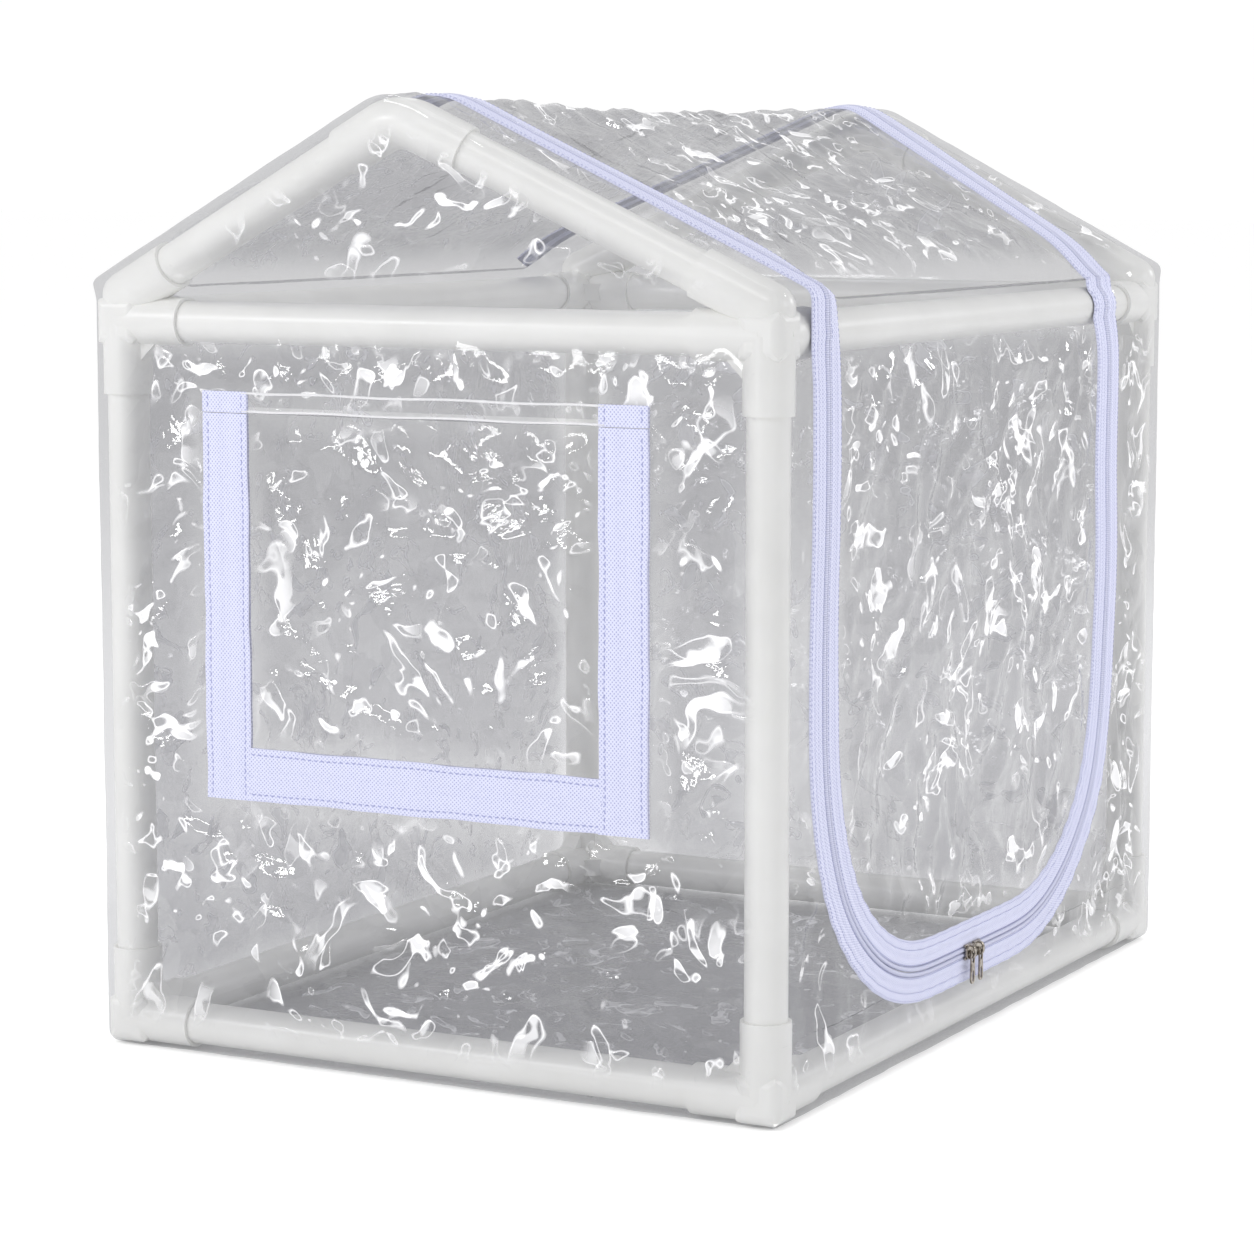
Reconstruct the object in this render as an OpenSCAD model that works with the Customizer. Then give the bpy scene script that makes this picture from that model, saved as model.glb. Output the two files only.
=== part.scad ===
// House-shaped calf hutch: a push-fit frame of plastic pipe inside a clear film cover.
// The cover has a zipped door that wraps over both roof slopes and down one side,
// and a window flap in the gable wall that closes on hook-and-loop strips.
// +X is the door side, -Y is the window wall, +Z is up.
// The origin is the middle of the footprint, on the ground.

/* [Frame] */
// Distance between the post axes across the window wall
frame_w = 430; // [380:5:600]
// Distance between the post axes along the door side
frame_l = 570; // [540:5:800]
// Height from the bottom rail axes to the top rail axes
frame_h = 428; // [400:2:640]
// Height of the ridge axis above the top rail axes
ridge_rise = 120; // [90:2:200]
// Outward lean of each gable, measured at the ridge
gable_lean = 35; // [10:1:60]

/* [Pipe and fittings] */
// Outside diameter of the pipe
pipe_od = 25; // [20:0.5:30]
// Wall of the pipe
pipe_wall = 2; // [1.2:0.1:3]
// Wall of a socket
socket_wall = 2.2; // [1.6:0.1:3.5]
// Distance from a fitting's centre to the mouth of its sockets
socket_reach = 44; // [40:1:60]
// Depth of pipe held in a socket
socket_depth = 20; // [12:1:22]
// Height of the rafter socket's axis above the top rail axes
rafter_lift = 15; // [14:0.5:20]
// Rounding of a corner fitting's outer edges
knuckle_round = 7; // [3:0.5:10]
// Legs of the triangular webs between the sockets, past the socket walls
web_leg = 7.5; // [4:0.5:12]
// Thickness of the webs
web_t = 12; // [4:0.5:16]
// Bend radius of the ridge elbows
elbow_bend = 30; // [25:1:40]

/* [Cover film] */
// Thickness of the film
film_t = 0.8; // [0.4:0.1:1.2]
// Width of the window opening
window_w = 224; // [120:2:260]
// Height of the window opening
window_h = 188; // [100:2:220]
// Height of the window's lower edge above the ground
window_z = 198; // [150:2:220]

/* [Window flap] */
// Width of the hook-and-loop strips
strip_w = 32; // [20:1:40]
// Thickness of a hook-and-loop strip
strip_t = 1; // [0.6:0.1:2]
// Gap between the window's edge and the inner edge of the strips
strip_margin = 5.5; // [3:0.5:10]
// Height of the folded strip ends and of the sewn header above the fold line
header_h = 13; // [8:0.5:20]

/* [Zip] */
// Whole width of the closed zip tape
zip_w = 38; // [30:1:44]
// Thickness of the woven tape
tape_t = 0.8; // [0.5:0.1:1.2]
// Width of one half of the coil
coil_w = 2.8; // [2:0.1:4]
// Height of the coil above the tape
coil_h = 1.8; // [1:0.1:3]
// Distance of the front zip line behind the front post axes
zip_front_inset = 40; // [34:1:70]
// Distance of the rear zip line in front of the rear post axes
zip_rear_inset = 90; // [40:1:120]
// How far the front zip line runs forward from the eave to the ridge
zip_front_drift = 23; // [0:1:40]
// How far the rear zip line runs back from the eave to the ridge
zip_rear_drift = 95; // [0:1:110]
// Radius of the zip line's lower corners
zip_bend = 150; // [60:5:170]
// Height of the zip line's lower run above the ground
zip_low_z = 54; // [50:1:90]

/* [Sliders] */
// Length of a slider along the zip
slider_len = 12; // [9:0.5:16]
// Distance between the two sliders' middles
slider_pitch = 13; // [13:0.5:30]
// Place of the pair of sliders, measured back from the middle of the hutch
slider_y = -30; // [-50:1:0]
// Length of a pull tab
pull_len = 21; // [16:0.5:30]
// Width of a pull tab
pull_w = 8; // [6.5:0.5:11]

/* [Hidden] */
$fn = 64;
push_gap = 0.1;      // radial gap between a pipe and its socket
end_gap = 0.2;       // gap between a pipe's end and the socket's stop
cover_gap = 0.3;     // gap between the cover and the frame
part_gap = 0.3;      // gap between pieces that move on each other
cut = 1;             // how far a cutting shape runs past the solid
passage_d = 18;      // waterway through the middle of a fitting
seam = 6;            // film edge's distance from the zip's middle line
fold_gap = 0.5;      // film edge's distance from a fold line that acts as a hinge
tape_fold_gap = 2.5; // tape's distance from a fold line
coil_fold_gap = 5;   // coil's distance from a fold line
zip_end = 12;        // distance from the left eave to the end of the zip
slot_len = 9;        // drain slot under the crown of a ridge elbow
slot_w = 3;
arm_relief = 0.05;   // step from an elbow's bend down to its straight arms
arm_bite = 0.5;      // how far an arm starts inside the bend
passage_drop = 3.5;  // elbow waterway's distance below the arms' axes
elbow_passage_d = 16;
knuckle_inset = 0.3; // how far the corner block stands inside the socket walls
filler_inset = 1;    // the same for the filler under a rafter socket

stop = socket_reach - socket_depth;
bore_r = pipe_od / 2 + push_gap;
fit_r = bore_r + socket_wall;
knuckle = 2 * (fit_r - knuckle_inset);
web = 2 * fit_r + web_leg;

post_x = frame_w / 2;
post_y = frame_l / 2;
low_z = film_t + cover_gap + fit_r;
top_z = low_z + frame_h;
rafter_z = top_z + rafter_lift;

cover_off = fit_r + cover_gap;
wall_x = post_x + cover_off;
wall_y = post_y + cover_off;
out_x = wall_x + film_t;
out_y = wall_y + film_t;

climb = ridge_rise - rafter_lift;
lean = atan(gable_lean / climb);
gable_rise = norm([gable_lean, climb]);
rafter_angle = atan(gable_rise / post_x);
rafter_len = norm([gable_rise, post_x]);
slope = atan(climb / post_x);

ridge_z = top_z + ridge_rise + cover_off / cos(slope);
eave_z = ridge_z - out_x * tan(slope);
slope_len = out_x / cos(slope);
fold_z = rafter_z + (wall_y - post_y - cover_off / cos(lean)) / tan(lean);

// Distance from the middle to the gable plane at height z, for a skin off away from the rafter axes
function gable_y(z, off) = post_y + off / cos(lean) + (z - rafter_z) * tan(lean);
// Height up the gable plane at which its inner face meets the underside of the roof, at distance x
function gable_top(x) = (ridge_z - x * tan(slope) - rafter_z + cover_off * sin(lean)) / cos(lean);

zip_front = -post_y + zip_front_inset;
zip_rear = post_y - zip_rear_inset;
half_gap = part_gap;
// The zip lines on a roof slope at distance u down from the ridge
function front_line(u) = zip_front - zip_front_drift * (1 - u / slope_len);
function rear_line(u) = zip_rear + zip_rear_drift * (1 - u / slope_len);

flap_w = window_w + 2 * (strip_margin + strip_w);
flap_in = flap_w / 2 - strip_w;
flap_low = window_z - strip_margin - strip_w;
flap_top = window_z + window_h + strip_margin;
loop_y = out_y + strip_t;
hook_y = loop_y + part_gap;

tape_x = out_x + tape_t;
coil_x = tape_x + coil_h;
plate_x = coil_x + part_gap;
plate_t = 1.2;       // slider's top plate
cheek_t = 1.6;       // slider's two cheeks beside the coil
slider_h = 2 * (coil_w + half_gap + part_gap + cheek_t);
arch_h = 9;          // bridge on the plate that holds the pull
arch_w = 2.4;
arch_in = 2.6;
arch_t = 1.2;
bar_t = 1.5;         // pull's thickness
pull_hole_w = arch_w + 4 * part_gap;
pull_hole_l = 6;
pull_x = plate_x + plate_t + (arch_in - bar_t) / 2;
pull_z = zip_low_z + bar_t / 2;

PIPE = "#e9e9e7";
FILM = [0.80, 0.83, 0.86, 0.35];
TAPE = "#e4e6fa";
METAL = "#8f8a84";

// ---- Placing helpers ----

module along_x() {
    rotate([0, 90, 0]) children();
}

module along_y() {
    rotate([-90, 0, 0]) children();
}

// A piece drawn for the front left corner, turned to the corner with signs sx and sy
module at_corner(sx, sy, z) {
    translate([sx * post_x, sy * post_y, z])
        mirror([sx > 0 ? 1 : 0, 0, 0])
            mirror([0, sy > 0 ? 1 : 0, 0])
                children();
}

// The front gable's own plane: x across, z up the lean, from between its two rafter feet
module gable_plane(sy) {
    mirror([0, sy > 0 ? 1 : 0, 0])
        translate([0, -post_y, rafter_z])
            rotate([lean, 0, 0])
                children();
}

// A flat shape drawn as (distance down from the ridge, y), laid on the slope on side sx
module on_slope(sx, height, thick) {
    mirror([sx < 0 ? 1 : 0, 0, 0])
        translate([0, 0, ridge_z])
            rotate([0, slope, 0])
                translate([0, 0, height])
                    linear_extrude(thick)
                        children();
}

// A flat shape drawn as (y, z), standing on a side wall from x = from outwards
module on_side(from, thick) {
    translate([from, 0, 0])
        rotate([90, 0, 90])
            linear_extrude(thick)
                children();
}

// A box between two corners
module block(low, high) {
    translate(low) cube(high - low);
}

// ---- Pipe frame ----

module pipe(length) {
    color(PIPE)
        difference() {
            cylinder(h = length, d = pipe_od);
            translate([0, 0, -cut]) cylinder(h = length + 2 * cut, d = pipe_od - 2 * pipe_wall);
        }
}

module post(sx, sy) {
    translate([sx * post_x, sy * post_y, low_z + stop + end_gap])
        pipe(frame_h - 2 * (stop + end_gap));
}

module cross_rail(sy, z) {
    translate([-post_x + stop + end_gap, sy * post_y, z])
        along_x() pipe(frame_w - 2 * (stop + end_gap));
}

module side_rail(sx, z) {
    translate([sx * post_x, -post_y + stop + end_gap, z])
        along_y() pipe(frame_l - 2 * (stop + end_gap));
}

module rafter_axis() {
    rotate([0, 90 - rafter_angle, 0]) children();
}

module rafter(sx, sy) {
    mirror([sx > 0 ? 1 : 0, 0, 0])
        gable_plane(sy)
            translate([-post_x, 0, 0])
                rafter_axis()
                    translate([0, 0, stop + end_gap])
                        pipe(rafter_len - 2 * (stop + end_gap));
}

module rounded_square(size, round) {
    square([size, size - 2 * round], center = true);
    square([size - 2 * round, size], center = true);
    for (sx = [-1, 1], sy = [-1, 1])
        translate([sx, sy] * (size / 2 - round))
            circle(r = round);
}

module knuckle_bar() {
    linear_extrude(knuckle, center = true) rounded_square(knuckle, knuckle_round);
}

module knuckle_block() {
    intersection() {
        knuckle_bar();
        along_x() knuckle_bar();
        along_y() knuckle_bar();
    }
}

module socket() {
    cylinder(h = socket_reach, r = fit_r);
}

module socket_bore() {
    translate([0, 0, stop]) cylinder(h = socket_depth + cut, r = bore_r);
    cylinder(h = stop + cut / 2, d = passage_d);
}

module web_plate() {
    linear_extrude(web_t, center = true) polygon([[0, 0], [web, 0], [0, web]]);
}

// Three-way corner with sockets along +X, +Y and +Z
module foot_corner(sx, sy) {
    color(PIPE)
        at_corner(sx, sy, low_z)
            difference() {
                union() {
                    knuckle_block();
                    socket();
                    along_x() socket();
                    along_y() socket();
                    web_plate();
                    rotate([90, 0, 0]) web_plate();
                    rotate([0, -90, 0]) web_plate();
                }
                socket_bore();
                along_x() socket_bore();
                along_y() socket_bore();
            }
}

// Four-way corner with sockets along +X, +Y, -Z and up the rafter
module eave_corner(sx, sy) {
    color(PIPE)
        at_corner(sx, sy, top_z)
            difference() {
                union() {
                    knuckle_block();
                    mirror([0, 0, 1]) socket();
                    along_x() socket();
                    along_y() socket();
                    web_plate();
                    rotate([-90, 0, 0]) web_plate();
                    rotate([0, 90, 0]) web_plate();
                    translate([0, 0, rafter_lift]) rotate([lean, 0, 0]) rafter_axis() socket();
                    cylinder(h = rafter_lift, r = fit_r - filler_inset);
                }
                mirror([0, 0, 1]) socket_bore();
                along_x() socket_bore();
                along_y() socket_bore();
                translate([0, 0, rafter_lift]) rotate([lean, 0, 0]) rafter_axis() socket_bore();
            }
}

module elbow_bend_tube(d) {
    translate([0, 0, -elbow_bend / cos(rafter_angle)])
        rotate([90, 0, 0])
            rotate([0, 0, 90 - rafter_angle])
                rotate_extrude(angle = 2 * rafter_angle)
                    translate([elbow_bend, 0]) circle(d = d);
}

// A straight arm of an elbow on side sx, from one distance to another down the rafter
module elbow_arm(sx, from, to, d) {
    rotate([0, sx * (90 + rafter_angle), 0])
        translate([0, 0, from])
            cylinder(h = to - from, d = d);
}

module drain_slot() {
    depth = elbow_bend / cos(rafter_angle) - elbow_bend + fit_r + cut;
    translate([0, 0, -depth]) {
        translate([-(slot_len - slot_w) / 2, -slot_w / 2, 0])
            cube([slot_len - slot_w, slot_w, depth - 2 * passage_drop]);
        for (sx = [-1, 1])
            translate([sx * (slot_len - slot_w) / 2, 0, 0])
                cylinder(h = depth - 2 * passage_drop, d = slot_w);
    }
}

module ridge_elbow(sy) {
    bend_end = elbow_bend * tan(rafter_angle);
    color(PIPE)
        gable_plane(sy)
            translate([0, 0, gable_rise])
                difference() {
                    union() {
                        elbow_bend_tube(2 * fit_r);
                        for (sx = [-1, 1])
                            elbow_arm(sx, bend_end - arm_bite, socket_reach, 2 * (fit_r - arm_relief));
                    }
                    translate([0, 0, -passage_drop])
                        for (sx = [-1, 1]) elbow_arm(sx, 0, stop + cut, elbow_passage_d);
                    for (sx = [-1, 1]) elbow_arm(sx, stop, socket_reach + cut, 2 * bore_r);
                    drain_slot();
                }
}

// ---- Fixed film ----

module floor_film() {
    color(FILM) block([-out_x, -out_y, 0], [out_x, out_y, film_t]);
}

module rear_wall_film() {
    color(FILM) block([-out_x, wall_y, film_t], [out_x, out_y, fold_z]);
}

module window_wall_film() {
    color(FILM)
        difference() {
            block([-out_x, -out_y, film_t], [out_x, -wall_y, fold_z]);
            block([-window_w / 2, -out_y - cut, window_z], [window_w / 2, -wall_y + cut, window_z + window_h]);
        }
}

module side_outline() {
    eave_y = gable_y(eave_z, cover_off);
    polygon([
        [-wall_y, film_t], [wall_y, film_t], [wall_y, fold_z],
        [eave_y, eave_z], [-eave_y, eave_z], [-wall_y, fold_z]
    ]);
}

module left_wall_film() {
    color(FILM) on_side(-out_x, film_t) side_outline();
}

// The door's U outline as (y, z), grown by off, up to height top
module door_outline(off, top) {
    bend_z = zip_low_z + zip_bend;
    low = zip_low_z - off;
    translate([zip_front - off, bend_z]) square([zip_rear - zip_front + 2 * off, top - bend_z]);
    translate([zip_front + zip_bend, low]) square([zip_rear - zip_front - 2 * zip_bend, top - low]);
    translate([zip_front + zip_bend, bend_z]) circle(r = zip_bend + off, $fn = 96);
    translate([zip_rear - zip_bend, bend_z]) circle(r = zip_bend + off, $fn = 96);
}

module door_wall_film() {
    color(FILM)
        on_side(wall_x, film_t)
            difference() {
                side_outline();
                door_outline(seam, eave_z + cut);
            }
}

module gable_film(sy) {
    foot = (fold_z - rafter_z + cover_off * sin(lean)) / cos(lean) + film_t;
    color(FILM)
        gable_plane(sy)
            translate([0, -cover_off, 0])
                rotate([90, 0, 0])
                    linear_extrude(film_t)
                        polygon([
                            [-out_x, foot], [out_x, foot], [out_x, gable_top(out_x)],
                            [0, gable_top(0)], [-out_x, gable_top(out_x)]
                        ]);
}

module roof_film_front(sx) {
    off = cover_off + film_t;
    color(FILM)
        on_slope(sx, 0, film_t)
            polygon([
                [0, -gable_y(ridge_z, off)], [slope_len, -gable_y(eave_z, off)],
                [slope_len, front_line(slope_len) - seam], [0, front_line(0) - seam]
            ]);
}

module roof_film_rear(sx) {
    off = cover_off + film_t;
    color(FILM)
        on_slope(sx, 0, film_t)
            polygon([
                [0, gable_y(ridge_z, off)], [slope_len, gable_y(eave_z, off)],
                [slope_len, rear_line(slope_len) + seam], [0, rear_line(0) + seam]
            ]);
}

// ---- Door film, hinged at the left eave, the ridge and the right eave ----

module door_film_slope(sx) {
    near = fold_gap;
    far = slope_len - fold_gap;
    color(FILM)
        on_slope(sx, 0, film_t)
            polygon([
                [near, front_line(near) + seam], [far, front_line(far) + seam],
                [far, rear_line(far) - seam], [near, rear_line(near) - seam]
            ]);
}

module door_film_side() {
    color(FILM) on_side(wall_x, film_t) door_outline(-seam, eave_z - fold_gap);
}

// ---- Window flap ----

module flap_film() {
    color(FILM) block([-flap_in, -hook_y - film_t, flap_low + strip_w], [flap_in, -hook_y, flap_top]);
}

module flap_header() {
    color(FILM)
        block([-flap_in, -hook_y - film_t, flap_top + fold_gap], [flap_in, -out_y, flap_top + header_h]);
}

module hook_strip_upright(sx) {
    low = min(sx * flap_in, sx * flap_w / 2);
    color(TAPE) block([low, -hook_y - strip_t, flap_low], [low + strip_w, -hook_y, flap_top]);
}

module hook_strip_bottom() {
    color(TAPE)
        block([-flap_in, -hook_y - strip_t, flap_low], [flap_in, -hook_y, flap_low + strip_w]);
}

module loop_strips() {
    color(TAPE)
        for (sx = [-1, 1]) {
            low = min(sx * flap_in, sx * flap_w / 2);
            block([low, -loop_y, flap_low], [low + strip_w, -out_y, flap_top]);
        }
    color(TAPE) block([-flap_in, -loop_y, flap_low], [flap_in, -out_y, flap_low + strip_w]);
}

module strip_tabs() {
    color(TAPE)
        for (sx = [-1, 1]) {
            low = min(sx * flap_in, sx * flap_w / 2);
            block(
                [low, -hook_y - strip_t, flap_top + fold_gap],
                [low + strip_w, -out_y, flap_top + header_h]
            );
        }
}

// ---- Zip ----

// Bands beside both zip lines on a slope, between two distances from the line.
// Positive distances lie outside the door, and the bands run from near to far down the slope.
module slope_bands(from, to, near, far) {
    polygon([
        [near, front_line(near) - from], [far, front_line(far) - from],
        [far, front_line(far) - to], [near, front_line(near) - to]
    ]);
    polygon([
        [near, rear_line(near) + from], [far, rear_line(far) + from],
        [far, rear_line(far) + to], [near, rear_line(near) + to]
    ]);
}

// The same bands around the U on the door wall
module side_band(from, to, top) {
    difference() {
        door_outline(to, top);
        door_outline(from, top + cut);
    }
}

module zip_fixed(base, thick, width, gap) {
    on_slope(-1, base, thick) slope_bands(half_gap, width, gap, slope_len - zip_end);
    on_slope(1, base, thick) slope_bands(half_gap, width, gap, slope_len - gap);
    on_side(out_x + base - film_t, thick) side_band(half_gap, width, eave_z - gap);
}

module zip_tape_fixed() {
    color(TAPE) zip_fixed(film_t, tape_t, zip_w / 2, tape_fold_gap);
}

module zip_coil_fixed() {
    color(TAPE) zip_fixed(film_t + tape_t, coil_h, half_gap + coil_w, coil_fold_gap);
}

module zip_tape_slope(sx) {
    far = slope_len - (sx < 0 ? zip_end : tape_fold_gap);
    color(TAPE)
        on_slope(sx, film_t, tape_t)
            slope_bands(-half_gap, -zip_w / 2, tape_fold_gap, far);
}

module zip_coil_slope(sx) {
    far = slope_len - (sx < 0 ? zip_end : coil_fold_gap);
    color(TAPE)
        on_slope(sx, film_t + tape_t, coil_h)
            slope_bands(-half_gap, -half_gap - coil_w, coil_fold_gap, far);
}

module zip_tape_side() {
    color(TAPE)
        on_side(out_x, tape_t)
            side_band(-zip_w / 2, -half_gap, eave_z - tape_fold_gap);
}

module zip_coil_side() {
    color(TAPE)
        on_side(tape_x, coil_h)
            side_band(-half_gap - coil_w, -half_gap, eave_z - coil_fold_gap);
}

// ---- Sliders and pulls ----

function slider_mid(sy) = slider_y + sy * slider_pitch / 2;

module slider(sy) {
    crown = plate_x + plate_t;
    color(METAL)
        translate([0, slider_mid(sy), zip_low_z]) {
            block(
                [plate_x, -slider_len / 2, -slider_h / 2],
                [crown, slider_len / 2, slider_h / 2]
            );
            for (sz = [-1, 1]) {
                low = sz < 0 ? -slider_h / 2 : slider_h / 2 - cheek_t;
                block(
                    [tape_x + part_gap, -slider_len / 2, low],
                    [plate_x, slider_len / 2, low + cheek_t]
                );
            }
            difference() {
                block(
                    [crown, -arch_w / 2, -arch_h / 2],
                    [crown + arch_in + arch_t, arch_w / 2, arch_h / 2]
                );
                block(
                    [crown, -arch_w, -arch_h / 2 + arch_t],
                    [crown + arch_in, arch_w, arch_h / 2 - arch_t]
                );
            }
        }
}

// A flat tab that hangs from its top bar, which lies under the slider's arch
module pull(sy) {
    hole_low = -bar_t - pull_hole_l;
    color(METAL)
        translate([pull_x, slider_mid(sy), pull_z])
            rotate([90, 0, 90])
                linear_extrude(bar_t)
                    difference() {
                        union() {
                            translate([-pull_w / 2, -pull_len + pull_w / 2])
                                square([pull_w, pull_len - pull_w / 2]);
                            translate([0, -pull_len + pull_w / 2]) circle(d = pull_w);
                        }
                        translate([-pull_hole_w / 2, hole_low]) square([pull_hole_w, pull_hole_l]);
                        translate([0, -pull_len + pull_w / 2]) circle(d = pull_hole_w);
                        translate([-pull_hole_w / 2, -pull_len + pull_w / 2])
                            square([pull_hole_w, pull_hole_w]);
                        translate([0, -pull_len + pull_w / 2 + pull_hole_w]) circle(d = pull_hole_w);
                    }
}

// ---- Nodes ----

post(-1, -1);  // post_front_left
post(1, -1);  // post_front_right
post(-1, 1);  // post_rear_left
post(1, 1);  // post_rear_right
cross_rail(-1, low_z);  // bottom_rail_front
cross_rail(1, low_z);  // bottom_rail_rear
side_rail(-1, low_z);  // bottom_rail_left
side_rail(1, low_z);  // bottom_rail_right
cross_rail(-1, top_z);  // top_rail_front
cross_rail(1, top_z);  // top_rail_rear
side_rail(-1, top_z);  // top_rail_left
side_rail(1, top_z);  // top_rail_right
rafter(-1, -1);  // rafter_front_left
rafter(1, -1);  // rafter_front_right
rafter(-1, 1);  // rafter_rear_left
rafter(1, 1);  // rafter_rear_right
foot_corner(-1, -1);  // foot_corner_front_left
foot_corner(1, -1);  // foot_corner_front_right
foot_corner(-1, 1);  // foot_corner_rear_left
foot_corner(1, 1);  // foot_corner_rear_right
eave_corner(-1, -1);  // eave_corner_front_left
eave_corner(1, -1);  // eave_corner_front_right
eave_corner(-1, 1);  // eave_corner_rear_left
eave_corner(1, 1);  // eave_corner_rear_right
ridge_elbow(-1);  // ridge_elbow_front
ridge_elbow(1);  // ridge_elbow_rear
floor_film();
window_wall_film();
rear_wall_film();
left_wall_film();
door_wall_film();
gable_film(-1);  // front_gable_film
gable_film(1);  // rear_gable_film
roof_film_front(-1);  // roof_film_front_left
roof_film_front(1);  // roof_film_front_right
roof_film_rear(-1);  // roof_film_rear_left
roof_film_rear(1);  // roof_film_rear_right
door_film_slope(-1);  // door_film_left_slope
door_film_slope(1);  // door_film_right_slope
door_film_side();
flap_film();
flap_header();
hook_strip_upright(-1);  // hook_strip_left
hook_strip_upright(1);  // hook_strip_right
hook_strip_bottom();
loop_strips();
strip_tabs();
zip_tape_fixed();
zip_tape_slope(-1);  // zip_tape_left_slope
zip_tape_slope(1);  // zip_tape_right_slope
zip_tape_side();
zip_coil_fixed();
zip_coil_slope(-1);  // zip_coil_left_slope
zip_coil_slope(1);  // zip_coil_right_slope
zip_coil_side();
slider(-1);  // slider_front
slider(1);  // slider_rear
pull(-1);  // pull_front
pull(1);  // pull_rear
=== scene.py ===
import logging
import math
from dataclasses import dataclass, field
from enum import Enum
from typing import Callable, Iterable, Sequence

import bpy
import numpy as np
from mathutils import Euler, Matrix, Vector, noise


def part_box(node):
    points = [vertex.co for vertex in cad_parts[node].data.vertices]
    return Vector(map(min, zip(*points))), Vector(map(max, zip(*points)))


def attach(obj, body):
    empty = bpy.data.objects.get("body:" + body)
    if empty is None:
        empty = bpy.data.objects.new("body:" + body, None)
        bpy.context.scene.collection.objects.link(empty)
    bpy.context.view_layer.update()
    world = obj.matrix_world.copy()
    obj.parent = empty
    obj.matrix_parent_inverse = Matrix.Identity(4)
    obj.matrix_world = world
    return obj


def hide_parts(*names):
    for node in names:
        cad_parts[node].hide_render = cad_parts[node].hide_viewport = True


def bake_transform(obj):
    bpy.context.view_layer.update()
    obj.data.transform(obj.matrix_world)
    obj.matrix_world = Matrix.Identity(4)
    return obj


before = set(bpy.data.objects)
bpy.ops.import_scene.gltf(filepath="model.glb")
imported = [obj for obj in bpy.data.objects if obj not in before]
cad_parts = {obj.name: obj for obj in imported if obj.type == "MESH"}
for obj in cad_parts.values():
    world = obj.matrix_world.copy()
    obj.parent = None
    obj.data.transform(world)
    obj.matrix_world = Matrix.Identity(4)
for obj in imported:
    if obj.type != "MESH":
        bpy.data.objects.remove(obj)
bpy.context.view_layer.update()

log = logging.getLogger("hutch")

MM = 0.001
Array = np.ndarray
Mesher = Callable[[Array, Array], Array]


# ---- Small helpers ----


def linear(code: str, alpha: float = 1.0) -> tuple[float, float, float, float]:
    """Turns an sRGB hex colour into linear values.

    Args:
        code: six hex digits, with or without a leading hash.
        alpha: the fourth value.

    Returns:
        Linear red, green, blue and alpha.
    """
    code = code.lstrip("#")
    out = []
    for at in (0, 2, 4):
        value = int(code[at : at + 2], 16) / 255
        out.append(value / 12.92 if value <= 0.04045 else ((value + 0.055) / 1.055) ** 2.4)
    return (out[0], out[1], out[2], alpha)


def smooth(low: float, high: float, value: Array) -> Array:
    """Eases from 0 at low to 1 at high.

    Args:
        low: where the ease starts.
        high: where the ease ends.
        value: the numbers to ease.

    Returns:
        Numbers from 0 to 1.
    """
    t = np.clip((value - low) / (high - low), 0.0, 1.0)
    return t * t * (3 - 2 * t)


def add_node(tree: bpy.types.NodeTree, kind: str, links: dict | None = None, **settings: object) -> bpy.types.Node:
    """Adds a node with its settings and links.

    Args:
        tree: the material's node tree.
        kind: the node's type name, after "ShaderNode".
        links: input name or number to an output socket or a plain value.
        settings: attributes set on the node.

    Returns:
        The new node.
    """
    node = tree.nodes.new("ShaderNode" + kind)
    for key, value in settings.items():
        setattr(node, key, value)
    for key, value in (links or {}).items():
        if isinstance(value, bpy.types.NodeSocket):
            tree.links.new(value, node.inputs[key])
        else:
            node.inputs[key].default_value = value
    return node


def select_only(obj: bpy.types.Object) -> None:
    """Selects one object and makes it active."""
    bpy.ops.object.select_all(action="DESELECT")
    obj.select_set(True)
    bpy.context.view_layer.objects.active = obj


def take_new(name: str) -> bpy.types.Object:
    """Names the object that an operator just added and returns it."""
    obj = bpy.context.active_object
    obj.name = name
    obj.data.name = name
    return obj


def settle(obj: bpy.types.Object) -> None:
    """Moves an object's place into its mesh."""
    select_only(obj)
    bpy.ops.object.transform_apply(location=True, rotation=True, scale=True)


def apply_modifiers(obj: bpy.types.Object) -> None:
    """Applies all the modifiers of an object, in order."""
    select_only(obj)
    for name in [m.name for m in obj.modifiers]:
        bpy.ops.object.modifier_apply(modifier=name)


def add_modifier(obj: bpy.types.Object, kind: str, **settings: object) -> None:
    """Adds a modifier of a kind with its settings."""
    modifier = obj.modifiers.new(kind.lower(), kind)
    for key, value in settings.items():
        setattr(modifier, key, value)


def shade(obj: bpy.types.Object, angle: float = 40.0) -> None:
    """Shades smooth except over edges sharper than angle degrees."""
    select_only(obj)
    bpy.ops.object.shade_smooth_by_angle(angle=math.radians(angle))


def outward(obj: bpy.types.Object) -> None:
    """Merges doubles and turns the faces of a closed mesh outwards."""
    select_only(obj)
    bpy.ops.object.mode_set(mode="EDIT")
    bpy.ops.mesh.select_all(action="SELECT")
    bpy.ops.mesh.remove_doubles(threshold=0.00002)
    bpy.ops.mesh.normals_make_consistent(inside=False)
    bpy.ops.object.mode_set(mode="OBJECT")


def join(parts: Sequence[bpy.types.Object], name: str) -> bpy.types.Object:
    """Joins meshes into one named object.

    Args:
        parts: the meshes.
        name: the new name.

    Returns:
        The joined object.
    """
    bpy.ops.object.select_all(action="DESELECT")
    for part in parts:
        part.select_set(True)
    bpy.context.view_layer.objects.active = parts[0]
    if len(parts) > 1:
        bpy.ops.object.join()
    parts[0].name = name
    parts[0].data.name = name
    return parts[0]


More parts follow.
